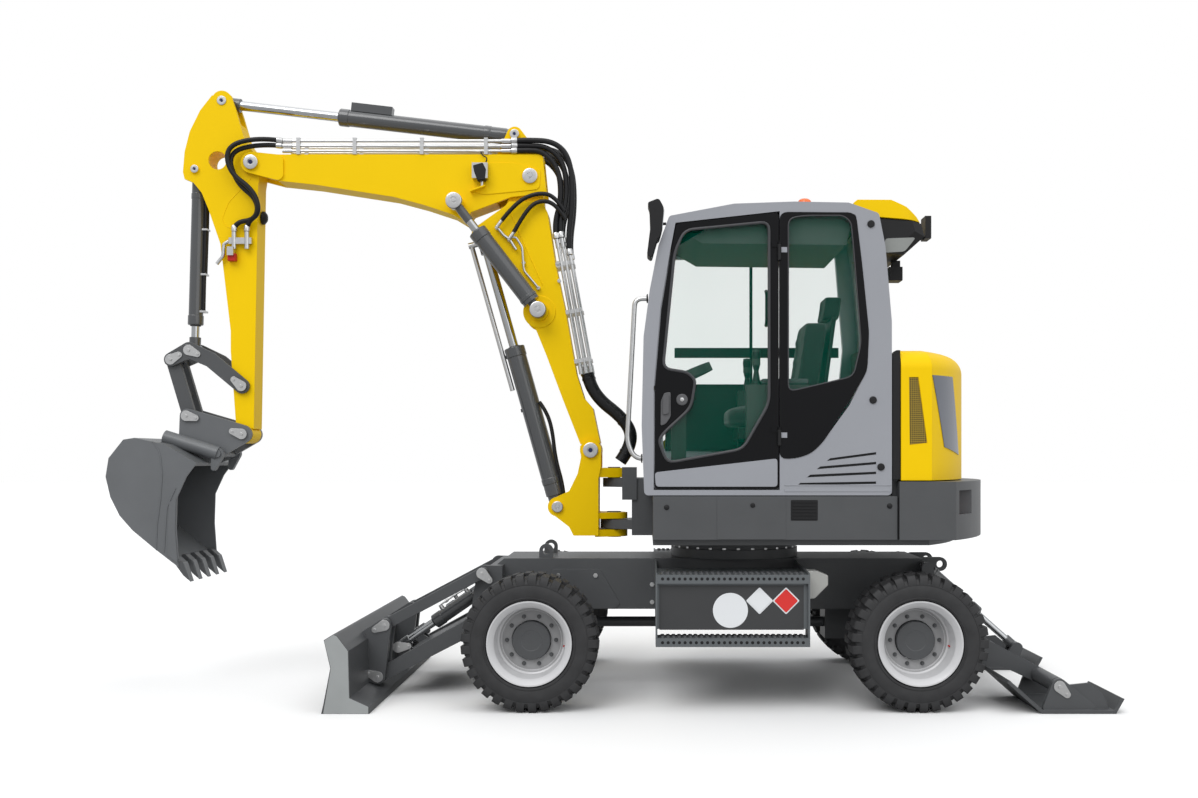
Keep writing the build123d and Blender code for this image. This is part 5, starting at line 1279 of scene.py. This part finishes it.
# Ends of the uppermost vent slot
VENT_FRONT = (1.35, 1.437)
VENT_BACK = (1.632, 1.474)
DOOR_HINGES = (1.57, 2.63)
CAB_CAPS = ((1.603, 2.793), (1.615, 1.786), (1.66, 1.403))
HANDRAIL = [
    (0.329, -0.905, 2.372), (0.252, -0.905, 2.372), (0.208, -0.905, 1.548), (0.25, -0.905, 1.452),
    (0.297, -0.905, 1.452)]
MIRROR = [
    (0.323, 2.909), (0.389, 2.935), (0.419, 2.88), (0.408, 2.76), (0.392, 2.707), (0.38, 2.7),
    (0.349, 2.592), (0.321, 2.61), (0.34, 2.763), (0.336, 2.878)]
MIRROR_Y = -0.915
BEACON = (1.28, -0.5, 2.9212)
CAB_LINING = [
    (0.5, 2.77), (0.515, 2.808), (0.829, 2.857), (1.168, 2.869), (1.47, 2.864), (1.586, 2.822),
    (1.5, 2.8), (1.47, 2.68), (0.64, 2.69)]
REAR_POST_LINING = [(1.56, 2.7), (1.668, 2.24), (1.668, 1.3), (1.61, 1.3), (1.61, 2.23), (1.53, 2.7)]
REAR_WALL_LINING = [(1.668, 2.12), (1.668, 1.3), (1.64, 1.3), (1.64, 2.12)]
SIDE_POCKET = [(1.56, 1.31), (1.56, 1.84), (1.6, 1.9), (1.636, 1.9), (1.636, 1.31)]
# Levers and the wheel, as (radius, along)
LEVER_BOOT = [(0.03, 1.8805), (0.024, 1.9), (0.018, 1.935), (0.014, 1.96)]
LEVER_GRIP = [(0.012, 1.955), (0.02, 1.985), (0.024, 2.03), (0.027, 2.06), (0.022, 2.082), (0.01, 2.088)]
WHEEL_HUB = [(0.04, -0.02), (0.044, 0.0), (0.036, 0.018), (0.01, 0.022)]


class EXCAVATOR_OT_glaze(bpy.types.Operator):
    """Put tinted glass in the place of the CAD panes"""
    bl_idname = "excavator.glaze"
    bl_label = "Glaze"

    def execute(self, context):
        for node, slot in RECORD_SLOTS.items():
            if slot == "glass":
                mesh = rounded(cleaned_node(node), 0.0008, 1)
                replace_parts(add_piece(node + "_pane", mesh, NODE_BODIES[node], "glass"), node)
        return {"FINISHED"}


class EXCAVATOR_OT_fit_cab(bpy.types.Operator):
    """Add the cab's frit, seals, door gear, handrail, mirror, beacon, lamps and inside trim"""
    bl_idname = "excavator.fit_cab"
    bl_label = "Fit the Cab"

    def execute(self, context):
        self.windows()
        self.door()
        self.outside()
        self.roof()
        self.inside()
        return {"FINISHED"}

    def windows(self):
        """The rear side pane's black border and bead, the caps on the post, and black plates behind the vent
        slots as painted shade.
        """
        clear = round_outline(REAR_CLEAR, 0.045)
        frit = cut_plate([round_outline(REAR_BLACK, 0.05), clear], -0.954, -0.9502)
        add_piece("cab_rear_side_frit", frit, "house", "black_gloss")
        Forge().seam(clear, -0.9538, 0.004).piece("cab_rear_side_bead", "house", "seal_rubber")
        caps = Forge().studs([(0.021, 0), (0.021, 0.006), (0.017, 0.009), (0.006, 0.0095)], CAB_CAPS,
                             CAB_SIDE + SKIN_GAP, 28, LEFT)
        caps.piece("cab_side_caps", "house", "black_plastic")
        # Black plates just inside the vent slots: painted shade in the slots
        vent_shade_backs = Forge()
        for row in range(4):
            front_x = VENT_FRONT[0] - row * 0.057
            front_z = VENT_FRONT[1] - row * 0.047
            back_x, back_z = VENT_BACK[0], VENT_BACK[1] - row * 0.056
            vent_shade_backs.prism([(front_x + 0.003, front_z + 0.001), (back_x, back_z + 0.001), (back_x, back_z + 0.013),
                         (front_x + 0.021, front_z + 0.0145)], -0.941, -0.9384)
        vent_shade_backs.piece("cab_vent_backs", "house", "black_plastic")

    def door(self):
        Forge().seam(round_outline(DOOR_WINDOW, 0.05), -0.95, 0.0085).piece(
            "door_window_seal", "cab_door", "seal_rubber")
        Forge().plate(round_outline(DOOR_SILL, 0.02), CAB_SIDE, 0.003, LEFT).piece(
            "door_sill_plate", "cab_door", "cab_silver", edge=0.001)
        gear = Forge().plate(round_outline(DOOR_HANDLE, 0.012), CAB_SIDE, 0.012, LEFT)
        gear.plate(round_outline([(0.412, 1.7), (0.448, 1.708), (0.448, 1.815), (0.412, 1.808)], 0.012),
                   CAB_SIDE + 0.012, 0.01, LEFT)
        gear.piece("door_handle", "cab_door", "handle_grey", edge=0.003)
        Forge().studs([(0.033, 0), (0.033, 0.006), (0.028, 0.01), (0.012, 0.0105)], [KEY_PLACE],
                      CAB_SIDE + SKIN_GAP, 36, LEFT).piece("door_lock_rose", "cab_door", "handle_grey")
        barrel = Forge().studs([(0.011, 0), (0.011, 0.003), (0.008, 0.004)], [KEY_PLACE],
                               CAB_SIDE + 0.0108, 20, LEFT)
        barrel.piece("door_lock_barrel", "cab_door", "zinc")
        hinges = Forge()
        for level in DOOR_HINGES:
            hinges.rod((1.078, -0.96, level - 0.045), (1.078, -0.96, level + 0.045), 0.0115, 20)
        hinges.piece("door_hinge_covers", "cab_door", "black_plastic", edge=0.002)

    def outside(self):
        """The handrail and the mirror."""
        rail = Forge().tube(bent(HANDRAIL, 0.045), 0.014, 20).piece("cab_handrail", "house", "zinc")
        feet = Forge()
        for x, z in ((0.2955, 1.452), (0.3275, 2.372)):
            feet.lathe([(0.026, 0), (0.026, 0.006), (0.018, 0.009)], (x, -0.905, z), (-1, 0, 0), 24)
        feet.piece("handrail_feet", "house", "black_plastic")
        mirror = Forge().prism(round_outline(MIRROR, 0.018), MIRROR_Y - 0.075, MIRROR_Y + 0.075).piece(
            "mirror_case", "house", "black_plastic", edge=0.012)
        Forge().prism([(0.4215, 2.872), (0.4105, 2.77), (0.408, 2.77), (0.419, 2.872)],
                      MIRROR_Y - 0.062, MIRROR_Y + 0.062).piece("mirror_glass", "house", "mirror")
        Forge().rod((0.395, MIRROR_Y, 2.8), (0.432, MIRROR_Y, 2.801), 0.008).piece(
            "mirror_arm", "house", "black_plastic")
        for piece in (rail, mirror):
            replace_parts(piece, "cab_trim")

    def roof(self):
        """The beacon, the roof unit's end panels, and the lenses of the two rear lamps."""
        up = (0, 0, 1)
        base = Forge().lathe([(0.05, 0), (0.05, 0.016), (0.046, 0.02), (0.04, 0.021)], BEACON, up, 36)
        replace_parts(base.piece("beacon_base", "house", "black_plastic"), "cab_trim")
        dome = Forge().lathe([(0.045, 0.0212), (0.045, 0.07), (0.043, 0.085), (0.036, 0.099), (0.024, 0.107),
                              (0.01, 0.11)], BEACON, up, 36)
        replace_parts(dome.piece("beacon_dome", "house", "orange_lens"), "cab_trim")
        outline = round_outline(ROOF_UNIT_PANEL, 0.02)
        Forge().prism(outline, -0.8626, -0.8602).prism(outline, -0.0598, -0.0574).piece(
            "roof_unit_panels", "house", "liner_grey", edge=0.0008)
        Forge().box((2.0262, -0.6, 2.782), (2.029, -0.5, 2.896)).piece(
            "rear_lamp_lens", "house", "clear_lens", edge=0.001)
        Forge().box((1.8562, -0.59, 2.526), (1.859, -0.49, 2.596)).piece(
            "hanging_lamp_lens", "house", "clear_lens", edge=0.001)

    def inside(self):
        """What shows through the glass: wall trim, lining, grab handle, levers, armrests and the wheel."""
        dark = Forge().box((0.984, -0.03, 1.5), (1.004, -0.017, 2.76))
        dark.box((0.5, -0.03, 2.1), (1.56, -0.017, 2.165))
        dark.box((0.44, -0.026, 1.5), (1.54, -0.0162, 1.93))
        dark.piece("cab_right_wall_trim", "house", "black_plastic", edge=0.003)
        lining = Forge().prism(CAB_LINING, -0.899, -0.02).prism(REAR_POST_LINING, -0.899, -0.83)
        lining.prism(REAR_WALL_LINING, -0.899, -0.02).box((0.56, -0.899, 1.2955), (1.66, -0.02, 1.31))
        lining.prism(SIDE_POCKET, -0.88, -0.85).piece("cab_lining", "house", "liner_dark", edge=0.003)
        grip = [(1.093, -0.022, 2.31), (1.093, -0.072, 2.33), (1.093, -0.072, 2.51), (1.093, -0.022, 2.53)]
        Forge().tube(bent(grip, 0.02), 0.012, 14).piece("cab_grab_handle", "house", "black_plastic")
        levers = Forge()
        for y in (-0.8, -0.13):
            levers.lathe(LEVER_BOOT, (0.96, y, 0), (0, 0, 1), 20).lathe(LEVER_GRIP, (0.96, y, 0), (0, 0, 1), 24)
        levers.piece("joystick_grips", "house", "black_plastic")
        pads = Forge()
        pad = round_outline([(0.985, 1.8805), (1.262, 1.8805), (1.262, 1.915), (0.985, 1.915)], 0.015)
        for y in (-0.86, -0.19):
            pads.prism(pad, y + 0.006, y + 0.114)
        pads.piece("armrest_pads", "house", "seal_rubber", edge=0.01)
        axis = Vector((-0.4, 0, 0.9)).normalized()
        centre = Vector((0.54, -0.46, 1.94))
        spoke = Vector((0, 0.166, 0))
        wheel = Forge().lathe([(0.176 + u, v) for u, v in circle(0.0135, 12)], centre, axis, 48, ring=True)
        wheel.lathe(WHEEL_HUB, centre, axis, 28)
        wheel.rod(centre - axis * 0.005 - spoke, centre - axis * 0.005 + spoke, 0.012)
        wheel.rod(centre - axis * 0.15, centre - axis * 0.02, 0.022)
        wheel.piece("steering_wheel", "house", "black_plastic")


# A cushion's form: cuts along each edge, roundness, and the depth and width of its seams and its side welts
CUSHION_CUTS = 27
CUSHION_POWER = 7
SEAM = (0.35, 0.045)
WELT = (0.3, 0.05)
WELT_PLACES = (-0.62, 0.62)
# The level from which the seat's back leans
BACK_FOOT = 1.79
# Seat cushions: name, low corner, high corner, how much the top swells, lean, seams across
CUSHIONS = (
    ("seat_base_cushion", (0.8, -0.7, 1.6405), (1.262, -0.22, 1.78), 0.03, 0.0, (0.3, 0.7)),
    ("seat_back_cushion", (1.216, -0.68, 1.79), (1.33, -0.24, 2.265), 0.026, 0.17, (0.28, 0.55, 0.8)),
    ("seat_head_cushion", (1.312, -0.59, 2.285), (1.402, -0.33, 2.425), 0.016, 0.17, ()),
)


class EXCAVATOR_OT_upholster(bpy.types.Operator):
    """Swell and seam the seat's cushions over its frame"""
    bl_idname = "excavator.upholster"
    bl_label = "Upholster the Seat"

    def execute(self, context):
        for name, low, high, swell, lean, seams in CUSHIONS:
            piece = add_piece(name, self.cushion(name, Vector(low), Vector(high), swell, lean, seams), "house",
                              "seat_fabric", sharp=80)
            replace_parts(piece, "cab_seat")
        seat = Forge().box((0.905, -0.64, 1.3265), (1.235, -0.28, 1.42))
        seat.box((0.93, -0.6, 1.42), (1.21, -0.32, 1.56)).box((0.86, -0.68, 1.56), (1.3, -0.24, 1.64))
        seat.prism([(1.345, 1.7), (1.372, 1.7), (1.452, 2.3), (1.425, 2.3)], -0.66, -0.26)
        base = seat.piece("seat_frame", "house", "black_plastic", slot="seat_fabric", edge=0.008)
        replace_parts(base, "cab_seat")
        return {"FINISHED"}

    def cushion(self, name, low, high, swell, lean, seams):
        """A crowned closed form: a cube blown out to a superellipsoid, drawn in along its seams and welts."""
        shape = bmesh.new()
        bmesh.ops.create_cube(shape, size=2)
        bmesh.ops.subdivide_edges(shape, edges=shape.edges, cuts=CUSHION_CUTS, use_grid_fill=True)
        half = (high - low) / 2
        middle = (high + low) / 2
        upright = half.x < half.z
        for vertex in shape.verts:
            u, v, w = vertex.co
            swollen = sum(abs(value) ** CUSHION_POWER for value in (u, v, w)) ** (-1 / CUSHION_POWER)
            u, v, w = u * swollen, v * swollen, w * swollen
            across = w if upright else u
            crown = (1 - across ** 2) * (1 - v ** 2)
            for share in seams:
                crown -= SEAM[0] * math.exp(-((across - 2 * share + 1) / SEAM[1]) ** 2) * (1 - v ** 6)
            for welt in WELT_PLACES:
                crown -= WELT[0] * math.exp(-((v - welt) / WELT[1]) ** 2) * (1 - across ** 6)
            place = Vector((middle.x + half.x * u, middle.y + half.y * v, middle.z + half.z * w))
            if upright:
                place.x += (swell * (crown - 1) if u < 0 else 0) * (1 if u < -0.2 else 0.3)
                place.x += lean * (place.z - BACK_FOOT) * 0.9
            elif w > 0:
                place.z += swell * (crown - 1)
            vertex.co = place
        mesh = bpy.data.meshes.new(name)
        shape.to_mesh(mesh)
        shape.free()
        return mesh


# House: hood, counterweight and skirts
GRILLE = [(1.822, 1.915), (1.872, 1.915), (1.923, 1.542), (1.826, 1.531)]
# Corner panels on the hood, as degrees round the slew axis and level
QUARTER = ((41.8, 1.929), (30.0, 1.933), (23.8, 1.472), (35.6, 1.518))
SLEW_X = 0.886
HOOD_RADIUS = 1.43
HOOD_SEAL = [(1.728, 1.33), (1.772, 1.33), (1.772, 2.072), (1.752, 2.072), (1.737, 2.064), (1.728, 2.046)]
# Rows and columns of points across a corner panel
PANEL_ROWS = 12
PANEL_COLUMNS = 10
# Tail lamps: name, finish, edge, back and front, outer and inner side
TAIL_LAMPS = (
    ("tail_lamp_backs", "black_plastic", 0.002, 2.0655, 2.075, 0.772, 0.938),
    ("tail_lamps_red", "red_lens", 0.003, 2.0755, 2.135, 0.782, 0.848),
    ("tail_lamps_amber", "orange_lens", 0.003, 2.0755, 2.1, 0.852, 0.926),
)
SKIRT_LID = [(0.722, 0.99), (1.116, 0.99), (1.116, 1.232), (0.722, 1.232)]
# Bars across the vent: how many, level of the first, step, height
VENT_BARS = (6, 1.105, 0.0186, 0.007)
SKIRT_VENT = [(1.144, 1.0965), (1.298, 1.0965), (1.298, 1.214), (1.144, 1.214)]


class EXCAVATOR_OT_dress_house(bpy.types.Operator):
    """Add the hood's seal, grilles and corner panels, the tail lamps, and the skirts' lids and vents"""
    bl_idname = "excavator.dress_house"
    bl_label = "Dress the House"

    def execute(self, context):
        Forge().pair(HOOD_SEAL, 0.9, 0.948).piece("hood_edge_seals", "house", "black_plastic", edge=0.003)
        Forge().pair(GRILLE, 0.9472, 0.9495).piece("hood_grilles", "engine_hood", "grille_mesh")
        self.corner_panels()
        for name, material, edge, back, front, inner, outer in TAIL_LAMPS:
            outline = [(back, 1.136), (front, 1.136), (front, 1.262), (back, 1.262)]
            Forge().pair(outline, inner, outer).piece(name, "house", material, edge=edge)
        self.skirts()
        return {"FINISHED"}

    def corner_panels(self):
        """Four-cornered panels laid on the hood's round back."""
        corners = Forge()
        for side in SIDES:
            rings = []
            for row in range(PANEL_ROWS + 1):
                down = row / PANEL_ROWS
                ring = []
                columns = range(PANEL_COLUMNS + 1)
                for radius, order in ((HOOD_RADIUS + 0.0042, columns), (HOOD_RADIUS + 0.0005, columns[::-1])):
                    for column in order:
                        over = column / PANEL_COLUMNS
                        top, bottom = ([QUARTER[a][i] * (1 - over) + QUARTER[b][i] * over for i in (0, 1)]
                                       for a, b in ((0, 1), (3, 2)))
                        angle = math.radians(top[0] * (1 - down) + bottom[0] * down)
                        level = top[1] * (1 - down) + bottom[1] * down
                        ring.append((SLEW_X + radius * math.cos(angle), side * radius * math.sin(angle), level))
                rings.append(ring)
            corners.skin(rings)
        corners.piece("hood_corner_panels", "engine_hood", "quarter_glass", edge=0.001)

    def skirts(self):
        Forge().plate(round_outline(SKIRT_LID, 0.008), HOUSE_SIDE, 0.0025).piece(
            "skirt_lids", "house", "chassis_grey", edge=0.001)
        bolts = Forge().studs([(0.0156, 0), (0.0156, 0.002), (0.012, 0.003), (0.012, 0.008), (0.0084, 0.01)],
                              ((0.434, 1.172), (1.709, 1.18)), HOUSE_SIDE + SKIN_GAP, 20)
        bolts.studs([(0.014, 0), (0.014, 0.004), (0.01, 0.006)], [(0.926, 1.184)], HOUSE_SIDE + 0.003, 24)
        bolts.piece("skirt_bolts", "house", "black_plastic")
        Forge().plate(round_outline(SKIRT_VENT, 0.006), HOUSE_SIDE, 0.002).piece(
            "skirt_vents", "house", "black_plastic", edge=0.0005)
        bars = Forge()
        count, first, step, height = VENT_BARS
        for row in range(count):
            level = first + row * step
            bars.plate([(1.152, level), (1.29, level), (1.29, level + height), (1.152, level + height)],
                       HOUSE_SIDE + 0.002, 0.004)
        bars.piece("skirt_vent_bars", "house", "black_plastic", edge=0.001)


# Chassis: steps, signs and plates
ROUND_SIGN = (0.7975, 0.585, 0.1)
WHITE_DIAMOND = (0.964, 0.64)
RED_DIAMOND = (1.115, 0.64)
DIAMOND_HALF = 0.068
STEP_FRONT = [(0.392, 0.474), (1.216, 0.474), (1.216, 0.728), (0.392, 0.728)]
# Tread of each step: middle, level, width, and height of its studs' feet over the level
STEP_ROWS = ((0.81, 0.767, 0.8, 0.0232), (0.81, 0.405, 0.8, 0.0254))
FRAME_PLATE = [(-0.272, 0.76), (0.028, 0.76), (0.157, 0.544), (0.12, 0.512), (-0.272, 0.512)]
STEP_COVER = [(1.2395, 0.6325), (1.297, 0.6375), (1.3745, 0.715), (1.3745, 0.772), (1.3105, 0.7975),
              (1.2395, 0.7975)]
RING_BOLTS = 28
RING_CIRCLE = 0.392
RING_LEVEL = 0.8865
BLADE_BOLTS = 12
BLADE_BOLT_END = 0.92
BLADE_EDGE = [(-1.5305, -0.0005), (-1.2565, -0.0005), (-1.2565, 0.012), (-1.5, 0.08), (-1.512, 0.078)]
# Outline of a thin sheet on the blade's end, lighter than the chassis grey: painted light
BLADE_END_PAINTED_LIGHT = [(-1.512, 0.417), (-1.46, 0.449), (-1.441, 0.441), (-1.378, 0.357), (-1.371, 0.09), (-1.262, 0.041),
             (-1.262, 0.002), (-1.518, 0.002), (-1.474, 0.259)]


class EXCAVATOR_OT_dress_chassis(bpy.types.Operator):
    """Add the steps' grip holes as black discs of painted shade, blank signs, tank cover, ring bolts and blade
    edge
    """
    bl_idname = "excavator.dress_chassis"
    bl_label = "Dress the Chassis"

    def execute(self, context):
        self.steps(context.scene.machine_looks)
        self.signs()
        self.plates()
        self.blade()
        return {"FINISHED"}

    def steps(self, looks):
        """Grip holes along each step's front as black discs of painted shade with no opening cut, and rows of
        raised studs on its tread.
        """
        hole_shade_profile = [(0.009, -0.002), (0.009, 0.0006)]
        stud_profile = [(0.0125, 0), (0.0115, 0.006), (0.008, 0.008), (0.006, 0.006)]
        hole_shade_discs = []
        studs = []
        for side in SIDES:
            for x, z, width, lift in STEP_ROWS:
                # Each hole is a black disc on the face with no opening: painted shade
                hole = Forge().lathe(hole_shade_profile, (0, 0, 0), (0, 0, 1), 14)
                hole_shade_discs.append(repeat(hole.mesh("hole"), "grid_of_copies", "black_plastic",
                                    facing((x, side, z), side),
                                    Columns=looks.tread_holes, Rows=1, Width=width, Height=0.022))
                stud = Forge().lathe(stud_profile, (0, 0, 0), (0, 0, 1), 12)
                studs.append(repeat(stud.mesh("stud"), "grid_of_copies", "chassis_grey",
                                    Matrix.Translation((x, side * 0.93, z + lift)),
                                    Columns=looks.tread_holes, Rows=3, Width=width, Height=0.09))
        add_piece("step_grip_holes", joined("step_holes", hole_shade_discs), "chassis", "black_plastic")
        add_piece("step_tread_studs", joined("step_studs", studs), "chassis", "chassis_grey")

    def signs(self):
        """The step boxes' dark fronts with their blank plates."""
        Forge().plate(STEP_FRONT, STEP_SIDE, 0.0006).piece("step_box_fronts", "chassis", "panel_grey")
        x, z, radius = ROUND_SIGN
        white = Forge().studs([(radius, 0), (radius, 0.0015), (radius - 0.001, 0.002)], [(x, z)],
                              STEP_SIDE + SKIN_GAP, 64)
        red = Forge()
        for (x, z), forge in ((WHITE_DIAMOND, white), (RED_DIAMOND, red)):
            for half, depth, target in ((DIAMOND_HALF + 0.01, 0.0, white), (DIAMOND_HALF, 0.0022, forge)):
                diamond = round_outline([(x - half, z), (x, z + half), (x + half, z), (x, z - half)], 0.008)
                target.plate(diamond, STEP_SIDE + depth, 0.002)
        white.piece("step_box_white_plates", "chassis", "white_sign", edge=0.0004)
        red.piece("step_box_red_plates", "chassis", "red_sign", edge=0.0004)

    def plates(self):
        """The covers behind the steps, the bolted plates on the frame, and the slewing ring's bolts."""
        Forge().pair(STEP_COVER, 0.6975, 0.8425).piece("rear_step_covers", "chassis", "tank_grey", edge=0.006)
        Forge().plate(round_outline(FRAME_PLATE, 0.02), 0.285, 0.006).piece(
            "frame_side_plates", "chassis", "chassis_grey", edge=0.0015)
        profile = [(0.015, 0), (0.015, 0.003), (0.012, 0.003), (0.012, 0.011)]
        bolts = Forge().studs(profile, ((-0.232, 0.72), (-0.232, 0.552), (0.0, 0.72)), 0.2915, 6)
        bolts.studs(profile, ((0.354, 0.663), (0.354, 0.553)), 0.2855, 6)
        bolts.piece("frame_side_bolts", "chassis", "zinc")
        bolt = Forge().lathe([(0.012, 0), (0.012, 0.01), (0.009, 0.012)], (0, 0, 0), (0, 0, 1), 6)
        mesh = repeat(bolt.mesh("ring_bolt"), "ring_of_copies", "zinc",
                      Matrix.Translation((SLEW_X, 0, RING_LEVEL)), Count=RING_BOLTS, Radius=RING_CIRCLE)
        add_piece("slew_ring_bolts", mesh, "chassis", "zinc")

    def blade(self):
        Forge().prism(BLADE_EDGE, -1.0005, 1.0005).piece(
            "blade_cutting_edge", "blade", "chassis_grey", edge=0.002)
        bolts = Forge()
        for index in range(BLADE_BOLTS):
            y = BLADE_BOLT_END * (index * 2 / (BLADE_BOLTS - 1) - 1)
            bolts.lathe([(0.014, -0.004), (0.014, 0.003), (0.01, 0.006)], (-1.5115, y, 0.052), (-0.96, 0, 0.19),
                        16)
        bolts.piece("blade_edge_bolts", "blade", "zinc")
        # A thin lighter sheet on each blade end: painted light on the lit side
        Forge().pair(BLADE_END_PAINTED_LIGHT, 0.9995, 1.0006).piece("blade_end_plates", "blade", "blade_grey")


# Stage: half the floor's width, the floor's shade for light and for the camera, and the sky's light
FLOOR_HALF = 60
FLOOR_SHADE = (0.42, 0.42, 0.42, 1)
FLOOR_SEEN = (0.9, 0.9, 0.9, 1)
SKY_COLOUR = (0.97, 0.985, 1.0, 1)
SKY_STRENGTH = 0.64
# Columns: name, direction that the light comes from, how wide it looks in degrees, strength
LAMPS = (
    ("key", (-3.0, -6.0, 6.5), 38, 1.3),
    ("fill", (5.0, -6.0, 4.0), 60, 0.58),
    ("top", (0.5, 1.0, 8.0), 70, 0.86),
)


class EXCAVATOR_OT_stage(bpy.types.Operator):
    """Set up the camera, a pale studio floor and soft light"""
    bl_idname = "excavator.stage"
    bl_label = "Set up the Stage"

    def execute(self, context):
        scene = context.scene
        self.camera(scene)
        self.floor(scene)
        self.light(scene)
        return {"FINISHED"}

    def camera(self, scene):
        data = bpy.data.cameras.new("camera")
        data.sensor_width = SENSOR_WIDTH
        data.lens = FOCAL_PIXELS / IMAGE_WIDTH * SENSOR_WIDTH
        data.shift_x = (IMAGE_WIDTH / 2 - PRINCIPAL_X) / IMAGE_WIDTH
        data.shift_y = (PRINCIPAL_Y - IMAGE_HEIGHT / 2) / IMAGE_WIDTH
        holder = bpy.data.objects.new("camera", data)
        holder.location = CAMERA_PLACE
        holder.rotation_euler = (math.pi / 2, 0, 0)
        scene.collection.objects.link(holder)
        scene.camera = holder
        scene.render.resolution_x = IMAGE_WIDTH
        scene.render.resolution_y = IMAGE_HEIGHT
        scene.view_settings.view_transform = "Standard"

    def floor(self, scene):
        mesh = bpy.data.meshes.new("floor")
        half = FLOOR_HALF
        mesh.from_pydata([(-half, -half, 0), (half, -half, 0), (half, half, 0), (-half, half, 0)], [],
                         [(0, 1, 2, 3)])
        floor = bpy.data.objects.new("floor", mesh)
        scene.collection.objects.link(floor)
        tree = FinishTree("floor")
        seen = tree.node("ShaderNodeLightPath", output="Is Camera Ray")
        shade = tree.mix(seen, FLOOR_SHADE, FLOOR_SEEN)
        mesh.materials.append(tree.surface(Base_Color=shade, Roughness=1.0, Specular_IOR_Level=0.0))

    def light(self, scene):
        world = bpy.data.worlds.new("studio")
        scene.world = world
        world.use_nodes = True
        tree = NodeTree(world.node_tree)
        tree.nodes.clear()
        seen = tree.node("ShaderNodeLightPath", output="Is Camera Ray")
        dim = tree.node("ShaderNodeBackground", Color=SKY_COLOUR, Strength=SKY_STRENGTH)
        white = tree.node("ShaderNodeBackground", Color=(1, 1, 1, 1), Strength=1.0)
        tree.end("ShaderNodeOutputWorld", tree.node("ShaderNodeMixShader", seen, dim, white))
        for name, source, spread, strength in LAMPS:
            lamp = bpy.data.lights.new(name, "SUN")
            lamp.angle = math.radians(spread)
            lamp.energy = strength
            holder = bpy.data.objects.new(name, lamp)
            holder.location = source
            holder.rotation_euler = Vector(source).to_track_quat("Z", "Y").to_euler()
            scene.collection.objects.link(holder)


class EXCAVATOR_PT_panel(bpy.types.Panel):
    """Lists the sizes and the steps that dress the excavator"""
    bl_label = "Excavator"
    bl_space_type = "VIEW_3D"
    bl_region_type = "UI"
    bl_category = "Excavator"

    def draw(self, context):
        looks = context.scene.machine_looks
        for prop in MachineLooks.__annotations__:
            self.layout.prop(looks, prop)
        for operator in OPERATORS:
            self.layout.operator(operator.bl_idname)


OPERATORS = (
    EXCAVATOR_OT_stage,
    EXCAVATOR_OT_run_hoses,
    EXCAVATOR_OT_dress_plates,
    EXCAVATOR_OT_glaze,
    EXCAVATOR_OT_fit_wheels,
    EXCAVATOR_OT_fit_pins,
    EXCAVATOR_OT_trim_cylinders,
    EXCAVATOR_OT_dress_boom,
    EXCAVATOR_OT_fit_cab,
    EXCAVATOR_OT_upholster,
    EXCAVATOR_OT_dress_house,
    EXCAVATOR_OT_dress_chassis,
)
CLASSES = (MachineLooks,) + OPERATORS + (EXCAVATOR_PT_panel,)


def register():
    for cls in CLASSES:
        bpy.utils.register_class(cls)
    bpy.types.Scene.machine_looks = PointerProperty(type=MachineLooks)


def unregister():
    del bpy.types.Scene.machine_looks
    for cls in reversed(CLASSES):
        bpy.utils.unregister_class(cls)


def main():
    register()
    for operator in OPERATORS:
        group, name = operator.bl_idname.split(".")
        getattr(getattr(bpy.ops, group), name)()


if __name__ == "__main__":
    main()
